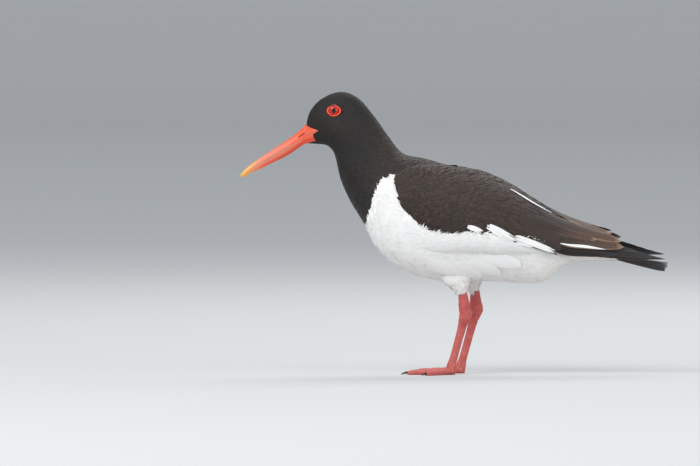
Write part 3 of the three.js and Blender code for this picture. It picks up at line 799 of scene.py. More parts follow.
def paint_dark(shade_of, fringe):
    """Dark feathers with paler edges. fringe is how rusty the rustiest ones are."""

    def paint(points, shape):
        count = len(points)
        base = of_centre(points, shape, shade_of) * rng.uniform(0.85, 1.15, (count, 1))
        base = mix(base, np.array(RUST), rng.uniform(0, 1, count) ** 4 * fringe)
        edge = np.maximum(np.abs(shape[:, 0]) * 0.9, shape[:, 1]) ** 5
        tone = 0.9 + 0.35 * edge[None, :] * rng.uniform(0.0, 1, (count, 1))
        return base[:, None, :] * tone[..., None]

    return paint


def paint_white(shade_of, low=0.94):
    """White feathers. low is the tone of their roots."""

    def paint(points, shape):
        base = of_centre(points, shape, shade_of) * rng.uniform(0.97, 1.03, (len(points), 1))
        tone = low + (1.02 - low) * shape[:, 1] ** 2
        return base[:, None, :] * tone[None, :, None]

    return paint


def plain(colour, spread):
    """Feathers of one colour, lighter or darker by up to the spread."""

    def paint(points, shape):
        tone = rng.uniform(1 - spread, 1 + spread, (len(points), 1, 1))
        return np.broadcast_to(np.array(colour), points.shape) * tone

    return paint


# Body feathers

BODY_BED = Bed(body_surface, (0.02, 0.02), (0, BODY_END, -7, 7), 1, body_map)
COAT_GAPS = (0.2, 0.56)  # from row to row as a share of the length, and in a row of the width
WISP_GAPS = (0.3, 0.75)
WISPS_FROM = 6  # the row of BODY behind which wisps lie
WING_COVER = {"reach": (-50, 150), "under": 7}  # millimetres and degrees inside the wing's edges


def body_feather_size(u):
    """Length and width of the small feathers in millimetres, from the bill to the tail."""
    stations = [0, 1.5, 3, 4.5, 6, 8, 10, 12, 14, 16]
    length = np.interp(u, stations, [2.4, 3.6, 4.8, 6.5, 9, 12.5, 16, 17, 16, 13])
    width = np.interp(u, stations, [1.2, 1.7, 2.3, 3.1, 4.2, 5.6, 6.8, 7, 6.4, 5.2])
    return length, width


def body_roots(close, apart):
    """Places of the body's feathers in rows, each row shifted against the last."""
    roots_u, roots_a = [], []
    u = 0.02
    row = 0
    while u < BODY_END - 0.02:
        length, width = body_feather_size(u)
        angles = np.linspace(-np.pi, np.pi, 200)
        ring = body_surface(np.full(200, u), angles)
        lengths = np.concatenate([[0], np.cumsum(np.linalg.norm(np.diff(ring, axis=0), axis=1))])
        count = max(8, int(lengths[-1] / (width * apart)))
        spots = (np.arange(count) + 0.5 * (row % 2) + rng.uniform(-0.3, 0.3, count)) / count
        roots_a.append(np.interp(spots % 1 * lengths[-1], lengths, angles))
        near = body_surface(np.array([u, u + 0.05]), np.array([1.4, 1.4]))
        spacing = length * close / (np.linalg.norm(near[1] - near[0]) / 0.05)
        roots_u.append(u + rng.uniform(-0.45, 0.45, count) * spacing)
        u += spacing
        row += 1
    return np.clip(np.concatenate(roots_u), 0, BODY_END), np.concatenate(roots_a)


def clear_of_face(points):
    """Feathers that stay off the eyes and off the bare skin at the bill's root."""
    dx, dz = points[:, 0] - EYE["x"], points[:, 2] - EYE["z"]
    eye = (dx / EYE_CLEAR[0]) ** 2 + (dz / EYE_CLEAR[1]) ** 2 > 1
    return eye & ~inside(points[:, [0, 2]], FACE_EDGE)


def wing_covers(points):
    """Body places that lie well under a folded wing."""
    x, z = points[:, 0], points[:, 2]
    row = cloak_row(x)
    turn = np.degrees(np.arccos(np.clip((z - row[:, 2]) / (row[:, 1] - row[:, 2]), -1, 1)))
    (first, last), under = WING_COVER["reach"], WING_COVER["under"]
    return (x > first) & (x < last) & (z > row[:, 4] + under) & (turn > row[:, 5] + under)


def body_coat():
    u, a = body_roots(*COAT_GAPS)
    place = body_surface(u, a)
    keep = clear_of_face(place) & ~wing_covers(place)
    u, a, place = u[keep], a[keep], place[keep]
    white = body_white(place) > 0.5
    for name, chosen, material, paint, lift in (
        ("coat_dark", ~white, DARK_FEATHER, paint_dark(body_shade, 0.1), 1.0),
        ("coat_white", white, WHITE_FEATHER, paint_white(body_shade), 0.35),
    ):
        root = stack(u[chosen], a[chosen])
        count = len(root)
        length, width = body_feather_size(root[:, 0])
        size = stack(length * rng.uniform(0.85, 1.15, count), width * rng.uniform(0.8, 1.2, count))
        sunk = -np.minimum(1.2, 0.4 + length * 0.05)
        rise = stack(sunk, length * rng.uniform(0, 0.02, count)) * lift
        lay(
            name, BODY_BED, SMALL_VANE, root, size, rise, paint, pointed=0.35, crown=0.015,
            scatter=0.09, material=material,
        )


def body_wisps():
    """Fine loose strands over the white parts."""
    u, a = body_roots(*WISP_GAPS)
    place = body_surface(u, a)
    ahead = body_surface(np.minimum(u + 0.8, BODY_END), a)
    white = (body_white(place) > 0.9) & (body_white(ahead) > 0.9)
    keep = white & ~wing_covers(place) & (u > WISPS_FROM)
    root = stack(u[keep], a[keep])
    count = len(root)
    length = body_feather_size(root[:, 0])[0] * rng.uniform(0.6, 1.0, count)
    size = stack(length, rng.uniform(0.9, 1.8, count))
    rise = stack(-0.3, 0.12 + 1.2 * rng.uniform(0, 1, count) ** 6)
    lay(
        "wisps", BODY_BED, SMALL_VANE, root, size, rise, paint_white(body_shade, 0.97), pointed=1.0,
        crown=0.02, scatter=0.16, thick=0.12, bend=0.04, material=WHITE_FEATHER,
    )


# Large rounded feathers of the flank: root x, z, tip x, z, width and height of the tip
FLANK = np.array(
    [
        [-36, 118, 2, 97, 14, 0.7], [-26, 116, 14, 95, 15, 0.8], [-14, 116, 28, 95, 15, 0.9],
        [-4, 115, 46.5, 97.6, 16, 1.1], [10, 119, 54, 106, 15, 0.8], [14, 114, 65.3, 106, 15, 1.3],
    ],
    float,
)


def flank(name, side):
    root_u, root_a, _ = body_place(FLANK[:, 0], FLANK[:, 1])
    tip_u, tip_a, _ = body_place(FLANK[:, 2], FLANK[:, 3])
    lay(
        f"flank_{name}", BODY_BED, LARGE_VANE, stack(root_u, side * root_a), FLANK[:, [4, 4]],
        stack(-0.6, FLANK[:, 5]), plain(WHITE, 0.02), stop=stack(tip_u, side * tip_a), pointed=0.05,
        crown=0.035, thick=0.4, fray=0.006, material=WHITE_FEATHER,
    )


skin = body_skin()
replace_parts(skin, "head", "neck", "torso", "rump")
body_coat()
body_wisps()
for name, side in SIDES.items():
    flank(name, side)


# Folded wings

# The layer under the wing's feathers: reach along the bird, depths, and depth lost at the front
WING_LAYER = {"reach": (-56, 141), "outer": 2.0, "inner": 4.2, "front": 0.8}
COVERT_GAP = 0.45  # between feathers in a row, as a share of their width
SCAPULARS = 230
EDGE_STRANDS = 170

# Long feathers: root x, z, tip x, z, width, height of the tip over the wing's surface
GREATER_COVERTS = [
    [62, 150, 100, 141, 15, 1.1], [66, 142, 103, 131, 15, 1.0], [68, 134, 103.5, 121.5, 15, 0.9],
]
TERTIALS = [
    [84, 137, 163.5, 121.8, 15, 0.5], [84, 150, 137, 129, 14, 0.8], [82, 158, 161.3, 126.8, 15, 1.0],
    [84, 166, 152, 134, 14, 1.2], [80, 170, 136, 141, 14, 1.4],
]
WHITE_EDGES = [[98, 128.5, 146, 119.9, 3.4, 1.0], [54.7, 177.6, 94, 153.6, 3.2, 1.9]]
WHITE_PATCHES = [
    [34, 143, 57.6, 130.6, 4.6, 1.1], [62, 132, 96.5, 119.4, 6.4, 1.6], [15, 143, 26, 138, 2.2, 0.9],
]
PATCH_STRANDS = 15

# Flight feathers: root x and share, tip x and share, width and height of the tip
PRIMARIES = np.array(
    [
        [96, 0.9, 204, 0.86, 11, -3.3], [94, 0.84, 197, 0.78, 11, -2.9], [92, 0.78, 188, 0.7, 11, -2.5],
        [90, 0.74, 179, 0.64, 11, -2.2], [88, 0.7, 170, 0.6, 11, -1.9], [86, 0.92, 158, 0.92, 11, -1.7],
        [84, 0.88, 146, 0.88, 11, -1.5],
    ],
    float,
)

# The small feathers of the wing, by x: length, width and the distance between rows
COVERT_X = [-57, -20, 30, 84]
COVERT_LENGTH = [9, 14, 21, 27]
COVERT_WIDTH = [3.2, 4.4, 5.8, 7.4]
COVERT_ROWS = [1.8, 2.6, 3.6, 4.2]


def wing_core(name, bed):
    """The dark and white layer under the wing's feathers."""
    x, share = grid(WING_LAYER["reach"], 90, (0, 0.97), 24)
    here, _, _, normal = frame_on(bed.surface, x, share, *bed.steps)
    depth = WING_LAYER["outer"] - WING_LAYER["front"] * step(-58, -44, x)
    outer = here - bed.facing * normal * depth[..., None]
    inner = here - bed.facing * normal * WING_LAYER["inner"]
    points, faces = slab(outer, inner)
    maps = np.tile(bed.flat(x, share).reshape(-1, 2), (2, 1))
    shades = wing_shade(points) * 0.7
    return make_object(f"wing_ground_{name}", points, faces, SKIN, shades, maps)


def covert_roots(first, last, apart):
    """Places of the wing's small feathers, in rows from the shoulder backwards."""
    xs, shares = [], []
    x = first
    row = 0
    while x < last:
        width = np.interp(x, COVERT_X, COVERT_WIDTH)
        arc = 85 if x < 60 else 85 - (x - 60) * 0.9
        count = int(arc / (width * apart))
        spots = (np.arange(count) + 0.5 * (row % 2) + 0.25 + rng.uniform(-0.35, 0.35, count)) / count
        xs.append(x + rng.uniform(-1.6, 1.6, count) + 4 * np.sin(spots * 3))
        shares.append(spots)
        x += np.interp(x, COVERT_X, COVERT_ROWS)
        row += 1
    return stack(np.concatenate(xs), np.clip(np.concatenate(shares), -0.02, 0.99))


def paint_tertials(points, shape):
    v, t = shape[:, 0], shape[:, 1]
    rim = step(0.8, 0.98, np.maximum(np.abs(v), t**2)) * step(0.15, 0.5, t)
    base = mix(BROWN_AND_SHEEN, TERTIAL_BROWN, step(0.2, 0.8, t) * (1 - 0.35 * np.abs(v)))
    shaft = np.exp(-((v / 0.12) ** 2))
    base = mix(base, BLACK_BROWN, 0.45 * shaft)
    base = mix(base, FRINGE, rim * 0.9)
    return np.broadcast_to(base[None], points.shape) * rng.uniform(0.85, 1.1, (len(points), 1, 1))


def paint_primaries(points, shape):
    v, t = np.abs(shape[:, 0]), shape[:, 1]
    # Painted sheen: the tips turn blue black
    base = mix(TAIL_BLACK, PAINTED_BLUE_SHEEN, step(0.75, 1.0, t))
    base = mix(base, (0.09, 0.075, 0.065), 0.6 * step(0.88, 1.0, v) * step(0.5, 0.8, t))
    return np.broadcast_to(base[None], points.shape) * rng.uniform(0.75, 1.25, (len(points), 1, 1))


def dress_wing(name, side):
    surface = lambda p, q: wing_surface(p, q, side)
    bed = Bed(surface, (0.5, 0.01), (-60, 205, -0.1, 1.04), side, wing_map(side))
    ground = wing_core(name, bed)
    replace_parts(ground, f"wing_{name}", f"primaries_{name}")

    def on_wing(title, template, root, size, rise, paint, **options):
        lay(f"{title}_{name}", bed, template, root, size, rise, paint, **options)

    def long_feathers(title, table, paint, **options):
        table = np.array(table, float)
        root = stack(table[:, 0], wing_share(table[:, 0], table[:, 1]))
        stop = stack(table[:, 2], wing_share(table[:, 2], table[:, 3]))
        rise = stack(table[:, 5] * 0.3, table[:, 5])
        on_wing(title, LARGE_VANE, root, table[:, [4, 4]], rise, paint, stop=stop, **options)

    root = covert_roots(-58, 80, COVERT_GAP)
    white = wing_shade(surface(root[:, 0], root[:, 1])).mean(-1) > 0.3
    for title, chosen, material, paint in (
        ("coverts", ~white, DARK_FEATHER, paint_dark(wing_shade, 0.35)),
        ("coverts_white", white, WHITE_FEATHER, paint_white(wing_shade)),
    ):
        part = root[chosen]
        count = len(part)
        length = np.interp(part[:, 0], COVERT_X, COVERT_LENGTH) * rng.uniform(0.8, 1.2, count)
        width = np.interp(part[:, 0], COVERT_X, COVERT_WIDTH) * rng.uniform(0.8, 1.2, count)
        on_wing(
            title, MIDDLE_VANE, part, stack(length, width), stack(-0.9, rng.uniform(0.0, 0.22, count)),
            paint, pointed=0.6, crown=0.025, scatter=0.12, fray=0.02, bend=0.03, tilt=0.25,
            material=material,
        )
    # Scapulars lie over the line between the back and the wing
    x = rng.uniform(-55, 66, SCAPULARS)
    root = stack(x, rng.uniform(-0.09, 0.1, SCAPULARS))
    size = stack(np.interp(x, [-55, 60], [12, 26]), np.interp(x, [-55, 60], [6, 12]))
    rise = stack(-1.0, rng.uniform(0.3, 0.9, SCAPULARS))
    on_wing(
        "scapulars", MIDDLE_VANE, root, size, rise, paint_dark(wing_shade, 0.4), pointed=0.25,
        scatter=0.1, turn=0.1, fray=0.03,
    )
    # White strands of the flank over the wing's lower edge
    x = rng.uniform(-44, 92, EDGE_STRANDS)
    edge = np.interp(x, DARK_EDGE[:, 0], DARK_EDGE[:, 1])
    root = stack(x, np.clip(wing_share(x, edge - 1.5), 0, 1))
    lean = np.where(x < -14, -0.75, -0.22) + rng.normal(0, 0.18, EDGE_STRANDS)
    size = stack(rng.uniform(4.5, 8, EDGE_STRANDS), rng.uniform(0.7, 1.5, EDGE_STRANDS))
    rise = stack(0.1, rng.uniform(0.7, 1.2, EDGE_STRANDS))
    on_wing(
        "strands", SMALL_VANE, root, size, rise, plain(WHITE, 0.04), pointed=1.0, scatter=0.2,
        turn=lean, bend=0.05, thick=0.14, material=WHITE_FEATHER,
    )
    # Long feathers, from the middle of the wing to its tip
    dark = paint_dark(wing_shade, 0.3)
    long_feathers("greater_coverts", GREATER_COVERTS, dark, pointed=0.2, thick=0.4)
    long_feathers("tertials", TERTIALS, paint_tertials, pointed=0.42, thick=0.5, shaft=0.2)
    pale = plain(WHITE, 0.02)
    long_feathers("white_edges", WHITE_EDGES, pale, pointed=0.9, material=WHITE_FEATHER)
    strands = np.repeat(np.array(WHITE_PATCHES), PATCH_STRANDS, axis=0)
    across = rng.uniform(-0.42, 0.42, len(strands)) * strands[:, 4]
    strands[:, [0, 2]] += rng.uniform(-2.5, 2.5, (len(strands), 1))
    strands[:, 2] += rng.uniform(-4, 2, len(strands))
    strands[:, [1, 3]] += across[:, None]
    strands[:, 4] = rng.uniform(1.4, 2.6, len(strands))
    pale = plain(WHITE, 0.04)
    long_feathers("white_patches", strands, pale, pointed=0.85, fray=0.01, material=WHITE_FEATHER)
    rise = stack(PRIMARIES[:, 5] - 0.3, PRIMARIES[:, 5])
    on_wing(
        "primaries", LARGE_VANE, PRIMARIES[:, 0:2], PRIMARIES[:, [4, 4]], rise, paint_primaries,
        stop=PRIMARIES[:, 2:4], pointed=0.6, thick=0.5, shaft=0.2,
    )


# The white upper flank: it hangs from the wing's lower edge and ends in a soft crease
FOLD_DEPTH = 19.0
FOLD_REACH = (-52.0, 90.0)
FOLD_FEATHERS = 3000


def fold_surface(x, down, side):
    """A point of the fold: x along the bird and how far down it lies from the wing's edge."""
    low = cloak_row(x)[..., 4] + 2.5
    z = low - down * np.interp(x, [40, FOLD_REACH[1]], [1, 0.4])
    body_y = body_place(x, z)[2]
    wing_y = np.abs(wing_surface(x, wing_share(x, low), side)[..., 1])
    fading = step(FOLD_REACH[1] + 14, FOLD_REACH[1] - 40, x)
    gap = np.clip(wing_y - body_place(x, low)[2], 0, 12) * fading
    bulge = np.sqrt(np.clip(1 - np.clip(down / FOLD_DEPTH, 0, 1) ** 2.2, 0, 1))
    return stack(x, side * (body_y + gap * bulge), z)


def fold(name, side):
    surface = lambda p, q: fold_surface(p, q, side)
    flat = lambda p, q: on_map(WING_MAPS[side], (p + 60) / 300, 0.9 + q / 250)
    bed = Bed(surface, (0.5, 0.5), (*FOLD_REACH, -1, FOLD_DEPTH + 6), side, flat)
    x, down = grid(FOLD_REACH, 90, (0, FOLD_DEPTH + 2), 20)
    here, _, _, normal = frame_on(surface, x, down, *bed.steps)
    points, faces = slab(here - side * normal * 0.7, here - side * normal * 3.0)
    maps = np.tile(flat(x, down).reshape(-1, 2), (2, 1))
    make_object(f"fold_{name}", points, faces, SKIN, 0.75, maps)
    x = rng.uniform(*FOLD_REACH, FOLD_FEATHERS)
    root = stack(x, rng.uniform(-0.5, FOLD_DEPTH - 2, FOLD_FEATHERS))
    size = stack(*(np.interp(x, [-50, 0, 100], sizes) for sizes in ([8, 13, 15], [3.2, 4.6, 5.2])))
    size *= rng.uniform(0.85, 1.15, (FOLD_FEATHERS, 1))
    rise = stack(-0.5, rng.uniform(0.0, 0.3, FOLD_FEATHERS))
    lay(
        f"fold_feathers_{name}", bed, SMALL_VANE, root, size, rise, plain(WHITE, 0.015), pointed=0.5,
        crown=0.02, scatter=0.1, turn=0.32, material=WHITE_FEATHER,
    )


for name, side in SIDES.items():
    dress_wing(name, side)
    fold(name, side)


# Bill

BILL_TIP_X = BILL[0, 0]
BILL_REACH = 64  # from the tip to where its last colour is reached
BILL_POWER = 0.9  # below 1, the bill's sides are flatter than an oval's

# Stops of the bill's colours: share of its reach, red, green, blue
BILL_UPPER_COLOURS = [
    [0, 0.92, 0.5, 0.05], [0.13, 0.9, 0.4, 0.08], [0.3, 0.85, 0.21, 0.1], [0.55, 0.84, 0.14, 0.075],
    [0.8, 0.84, 0.095, 0.028], [1, 0.82, 0.085, 0.02],
]
BILL_LOWER_COLOURS = [
    [0, 0.92, 0.46, 0.04], [0.16, 0.88, 0.3, 0.05], [0.35, 0.76, 0.1, 0.035], [0.7, 0.7, 0.06, 0.018],
    [1, 0.74, 0.06, 0.014],
]
BILL_PINK = (0.8, 0.27, 0.18)
# The mouth's buff edge, darkened as painted shade of the gap between the bill's halves and of the crease
# to the gape
MOUTH_BUFF_AND_SHADE = (0.42, 0.2, 0.11)
# Painted shade in the nostril's slit
NOSTRIL_SHADE = (0.38, 0.012, 0.005)
FACE_SKIN = ((0.82, 0.1, 0.035), (0.78, 0.065, 0.014))  # over and under the gape
# Painted highlight on the bare skin beside the crease to the gape
FACE_HIGHLIGHT = (0.85, 0.2, 0.13)
FACE_START = np.array([[-142.6, 238.6], [-142.2, 229.0], [-145.5, 220.6]])  # x, z at the bill's root


def nostril_depth(points):
    lean = math.radians(NOSTRIL["lean"])
    dx, dz = points[..., 0] - NOSTRIL["x"], points[..., 2] - NOSTRIL["z"]
    along = (dx * math.cos(lean) + dz * math.sin(lean)) / NOSTRIL["half_length"]
    across = (dz * math.cos(lean) - dx * math.sin(lean)) / NOSTRIL["half_width"]
    return step(1.3, 0.5, along**4 + across**2)


def bill_half(upper):
    rows, columns = 300, 60
    fine = smooth_rows(BILL, np.linspace(0, len(BILL) - 1, rows))
    far, mouth, half = fine[:, 0:2] if upper else fine[:, 4:6], fine[:, 2:4], fine[:, 6:7]
    turn = np.linspace(0, np.pi, columns)[None, :]
    rise = np.sin(turn) ** BILL_POWER
    lip = 1 - 0.07 * np.exp(-((rise / 0.1) ** 2))
    x = mouth[:, 0:1] + (far[:, 0:1] - mouth[:, 0:1]) * rise
    gap = 0.1 if upper else -0.1
    z = mouth[:, 1:2] + gap + (far[:, 1:2] - mouth[:, 1:2] - gap) * rise
    y = half * np.cos(turn) * lip
    outside = stack(x, y, z)
    if upper:
        slit = nostril_depth(outside) * step(1.5, 2.5, np.abs(y))
        outside[..., 1] -= np.sign(y) * NOSTRIL["deep"] * slit
    within = stack(mouth[:, 0:1], y, mouth[:, 1:2] + gap)[:, -2:0:-6]
    rings = np.concatenate([outside, within], 1)
    points, faces = closed_tube(rings)
    s = (points[:, 0] - BILL_TIP_X) / BILL_REACH
    level = np.concatenate([np.broadcast_to(rise, (rows, columns)), np.zeros(within.shape[:2])], 1)
    level = np.concatenate([level.ravel(), [0, 0]])
    shade = colour_along(BILL_UPPER_COLOURS if upper else BILL_LOWER_COLOURS, s)
    pink = np.exp(-((level / 0.45) ** 2)) * step(0.03, 0.25, s) * (1 - step(0.6, 0.95, s))
    shade = mix(shade, BILL_PINK, 0.65 * pink)
    # The buff edge of the mouth, with painted shade of the gap between the halves
    lips_buff_and_shade = np.exp(-((level / 0.1) ** 2)) * step(0.02, 0.2, s)
    shade = mix(shade, MOUTH_BUFF_AND_SHADE, 0.75 * lips_buff_and_shade)
    # Painted shade: the nostril's slit is painted dark red
    if upper:
        shade = mix(shade, NOSTRIL_SHADE, nostril_depth(points))
    return points, faces, shade


def bare_face(side):
    """Bare skin from the bill's root to the feathers, round the corner of the mouth."""
    rows, columns = 80, 22
    lengths = np.concatenate([[0], np.cumsum(np.hypot(*np.diff(FACE_EDGE, axis=0).T))])
    k = np.linspace(0, 1, rows)
    margin = stack(*(np.interp(k * lengths[-1], lengths, FACE_EDGE[:, i]) for i in (0, 1)))
    root = stack(*(np.interp(k, [0, 0.5, 1], FACE_START[:, i]) for i in (0, 1)))
    t = np.linspace(0, 1, columns)[None, :, None]
    flat = root[:, None] * (1 - t) + margin[:, None] * t
    x, z = flat[..., 0], flat[..., 1]
    row = smooth_rows(BILL, np.interp(x, BILL[:, 2], np.arange(len(BILL))))
    above = z > row[..., 3]
    reach = np.where(above, row[..., 1] - row[..., 3], row[..., 3] - row[..., 5])
    share = np.clip(np.abs(z - row[..., 3]) / reach, 0, 1)
    bill_y = row[..., 6] * np.sqrt(1 - share ** (2 / BILL_POWER))
    y = np.maximum(body_place(x, z)[2], bill_y) + 0.25
    mouth = FACE_START[1]
    way = GAPE - mouth
    along = np.clip(((x - mouth[0]) * way[0] + (z - mouth[1]) * way[1]) / (way @ way), 0, 1)
    off = np.hypot(x - mouth[0] - along * way[0], z - mouth[1] - along * way[1])
    crease = np.exp(-((off / 0.45) ** 2))
    y = y - 0.35 * crease
    points, faces = slab(stack(x, side * y, z), stack(x, side * (y - 1.3), z))
    shade = mix(*FACE_SKIN, step(231, 227, z))
    # Painted highlight: a pink band beside the crease
    shade = mix(shade, FACE_HIGHLIGHT, 0.5 * np.exp(-((off - 2.2) ** 2)))
    # Painted shade: the crease to the gape is mixed towards the darker buff of the mouth's edge
    shade = mix(shade, MOUTH_BUFF_AND_SHADE, 0.7 * crease)
    return points, faces, np.concatenate([shade.reshape(-1, 3)] * 2)


for name, upper in (("bill_top", True), ("bill_bottom", False)):
    points, faces, shade = bill_half(upper)
    piece = make_object(name, points, faces, HORN, shade)
    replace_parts(piece, "bill_upper" if upper else "bill_lower")
for name, side in SIDES.items():
    points, faces, shade = bare_face(side)
    make_object(f"bare_face_{name}", points, faces, HORN, shade)


# Eyes

IRIS_RED = (0.42, 0.008, 0.008)
IRIS_LIGHT = (0.62, 0.018, 0.012)
IRIS_RIM = (0.12, 0.004, 0.003)
PUPIL_BLACK = (0.002, 0.002, 0.002)
RING_ORANGE = (0.93, 0.085, 0.014)


def eye_ball(side):
    tilt, turn = grid((0.001, np.pi - 0.001), 60, (0, TAU), 72, closed=True)
    radius = EYE["radius"]
    dx, dz = radius * np.sin(tilt) * np.cos(turn), radius * np.sin(tilt) * np.sin(turn)
    y = side * (EYE["y"] + radius * np.cos(tilt))
    points, faces = closed_tube(stack(EYE["x"] + dx, y, EYE["z"] + dz))
    dx, dz = points[:, 0] - EYE["x"], points[:, 2] - EYE["z"]
    out = np.hypot(dx, dz)
    fibres = 0.5 + 0.5 * np.sin(np.arctan2(dz, dx) * 34 + 3 * np.sin(out * 2))
    shade = mix(IRIS_RED, IRIS_LIGHT, step(2.2, 4.2, out) * (0.35 + 0.4 * fibres))
    shade = mix(shade, IRIS_RIM, step(EYE["iris"] - 0.5, EYE["iris"] + 0.3, out))
    wide, tall = EYE["pupil"]
    shade = mix(shade, PUPIL_BLACK, step(1.08, 0.92, np.hypot(dx / wide, dz / tall)))
    return points, faces, shade


def eye_ring(side):
    rows, columns = 120, 16
    turn = np.linspace(0, TAU, rows)[:, None]
    w = np.linspace(0, 1, columns)[None, :]

    def oval(size, power):
        c, s = np.cos(turn), np.sin(turn)
        return (np.abs(c / size[0]) ** power + np.abs(s / size[1]) ** power) ** (-1 / power)

    inner, outer = oval(EYE_RING["inner"], 2), oval(EYE_RING["outer"], 1.8)
    outer = outer * (1 + 0.04 * np.sin(-turn).clip(0))
    out = inner + (outer - inner) * w
    x, z = EYE["x"] + out * np.cos(turn), EYE["z"] + out * np.sin(turn)
    near = EYE["y"] + np.sqrt(EYE["radius"] ** 2 - inner**2)
    far = body_place(EYE["x"] + outer * np.cos(turn), EYE["z"] + outer * np.sin(turn))[2]
    y = near * (1 - w) + far * w + EYE_RING["proud"] * np.sin(np.pi * w) ** 0.6 - 0.25
    return slab(stack(x, side * y, z), stack(x, side * (y - 1.6), z))


eye_paint = painted_material(
    "eye", Roughness=0.2, Coat_Weight=0.4, Coat_Roughness=0.02, Specular_IOR_Level=0.3
)
ring_paint, ring_tree, ring_bsdf = shader(
    "eye_ring", Base_Color=(*RING_ORANGE, 1), Roughness=0.45, Specular_IOR_Level=0.4
)
pores = texture(ring_tree, "Voronoi", Scale=1.2).outputs["Distance"]
bump(ring_tree, pores, ring_bsdf, 0.2, 0.0002)

for name, side in SIDES.items():
    points, faces, shade = eye_ball(side)
    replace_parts(make_object(f"eyeball_{name}", points, faces, eye_paint, shade), f"eye_{name}")
    points, faces = eye_ring(side)
    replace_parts(make_object(f"lids_{name}", points, faces, ring_paint), f"eye_ring_{name}")


# Legs: stations hold x, z, half depth and half width

LEGS = {
    "left": {"knee": (7.7, 88), "heel": (11.8, 58), "foot": (-2.0, 7)},
    "right": {"knee": (20.5, 90), "heel": (22.5, 61), "foot": (7.5, 6)},
}
TOES = {"inner": (25, 32, 2.6), "middle": (-6, 41, 2.9), "outer": (-50, 36, 2.7)}  # angle, length, radius
CLAW_LENGTH = 6.5
THIGH_FEATHERS = 1800
THIGH_END = 12.0  # the thigh's feathers end this far under the knee
LEG_PINK = (0.56, 0.13, 0.11)
# The leg's deeper red, for random blotches and for painted shade up the leg
LEG_RED_AND_SHADE = (0.42, 0.05, 0.05)
CLAW_BROWN = (0.03, 0.017, 0.013)


def limb_surface(stations, y, at, turn):
    """Points of a limb. at runs along its stations, and turn goes round it."""
    stations = np.array(stations, float)
    row = smooth_rows(stations, at)
    ahead = smooth_rows(stations, at + 0.02) - smooth_rows(stations, at - 0.02)
    heading = ahead[..., :2] / np.linalg.norm(ahead[..., :2], axis=-1, keepdims=True)
    out = row[..., 2] * np.cos(turn)
    x = row[..., 0] - heading[..., 1] * out
    z = row[..., 1] + heading[..., 0] * out
    return stack(x, y + row[..., 3] * np.sin(turn), z)


def limb_rings(stations, y, rows, columns):
    at, turn = grid((0, len(stations) - 1), rows, (0, TAU), columns, closed=True)
    return limb_surface(stations, y, at, turn)


def leg_mesh(leg, y):
    kx, kz = leg["knee"]
    hx, hz = leg["heel"]
    fx, fz = leg["foot"]

    def shank(t, deep, wide):
        return [hx + (fx - hx) * t, hz + (fz - hz) * t, deep, wide]

    def shin(t, deep, wide):
        return [kx + (hx - kx) * t, kz + (hz - kz) * t, deep, wide]

    stations = [
        shin(0, 3.3, 3.0), shin(0.45, 4.6, 3.6), shin(0.8, 5.8, 4.4), [hx + 0.3, hz, 6.0, 4.6],
        shank(0.12, 5.1, 4.2), shank(0.25, 4.1, 3.3), shank(0.55, 3.7, 3.0), shank(0.85, 3.8, 3.2),
        shank(0.96, 4.6, 4.0), [fx - 0.5, fz - 3.2, 4.8, 4.2],
    ]
    rings = limb_rings(stations, y, 260, 48)
    middle = rings.mean(1, keepdims=True)
    way = rings - middle
    flattened = rings * np.array([1, 1, 3.0])
    wrinkles = wave_noise(rings, 3.0, 5) * 0.02 + wave_noise(flattened, 9, 6) * 0.012
    near_heel = np.exp(-(((rings[..., 2] - hz) / 7) ** 2))
    rings = middle + way * (1 + wrinkles * (0.6 + 1.6 * near_heel))[..., None]
    rings[..., 2] = np.maximum(rings[..., 2], 0.4)
    return closed_tube(rings)


def toe_rings(leg, y, rows_of, rows, columns, angle, scaled):
    """Rings of a toe or claw along the floor; rows_of holds distance, height and radius."""
    turn_out = math.radians(angle)
    heading = np.array([-math.cos(turn_out), -np.sign(y) * math.sin(turn_out)])
    fine = smooth_rows(np.array(rows_of, float), np.linspace(0, len(rows_of) - 1, rows))
    turn = np.linspace(0, TAU, columns, endpoint=False)[None, :]
    distance, height, radius = (fine[:, k : k + 1] for k in range(3))
    scales = np.abs(np.sin(distance * np.pi / 2.3)) ** 0.6 * np.clip(np.sin(turn), 0, 1) * scaled
    radius = radius * (1 + scales)
    across, up = radius * np.cos(turn), radius * np.sin(turn)
    x = leg["foot"][0] - 1 + heading[0] * distance - heading[1] * across
    side = y + heading[1] * distance + heading[0] * across
    return stack(x, side, np.maximum(height + up, 0.0))


def toe_mesh(leg, y, angle, length, r):
    rows_of = [
        [-5, 3.0, r - 0.4], [-2, 3.3, r + 0.7], [6, 3.1, r + 0.5], [length * 0.35, 2.5, r + 0.1],
        [length * 0.42, 2.4, r - 0.2], [length * 0.6, 2.3, r], [length * 0.68, 2.1, r - 0.35],
        [length * 0.88, 1.9, r - 0.2], [length, 1.5, r - 1.0],
    ]
    return closed_tube(toe_rings(leg, y, rows_of, 150, 28, angle, 0.05))


def claw_mesh(leg, y, angle, length):
    rows_of = [
        [length - 1.5, 2.1, 1.2], [length + 1.0, 2.3, 1.2], [length + CLAW_LENGTH * 0.45, 1.9, 0.95],
        [length + CLAW_LENGTH * 0.78, 1.15, 0.62], [length + CLAW_LENGTH, 0.45, 0.2],
    ]
    return closed_tube(toe_rings(leg, y, rows_of, 40, 16, angle, 0.0))


def leg_shade(points):
    blotch = 0.5 + 0.5 * wave_noise(points, 12, 14)
    # Painted shade: the legs are redder and darker higher up, under the body; the lower legs and toes
    # pinker
    lower = step(60, 20, points[:, 2])
    return mix(LEG_RED_AND_SHADE, LEG_PINK, np.clip(0.25 + 0.45 * blotch + 0.3 * lower, 0, 1))


claw_paint, _, _ = shader("claw", Base_Color=(*CLAW_BROWN, 1), Roughness=0.35)


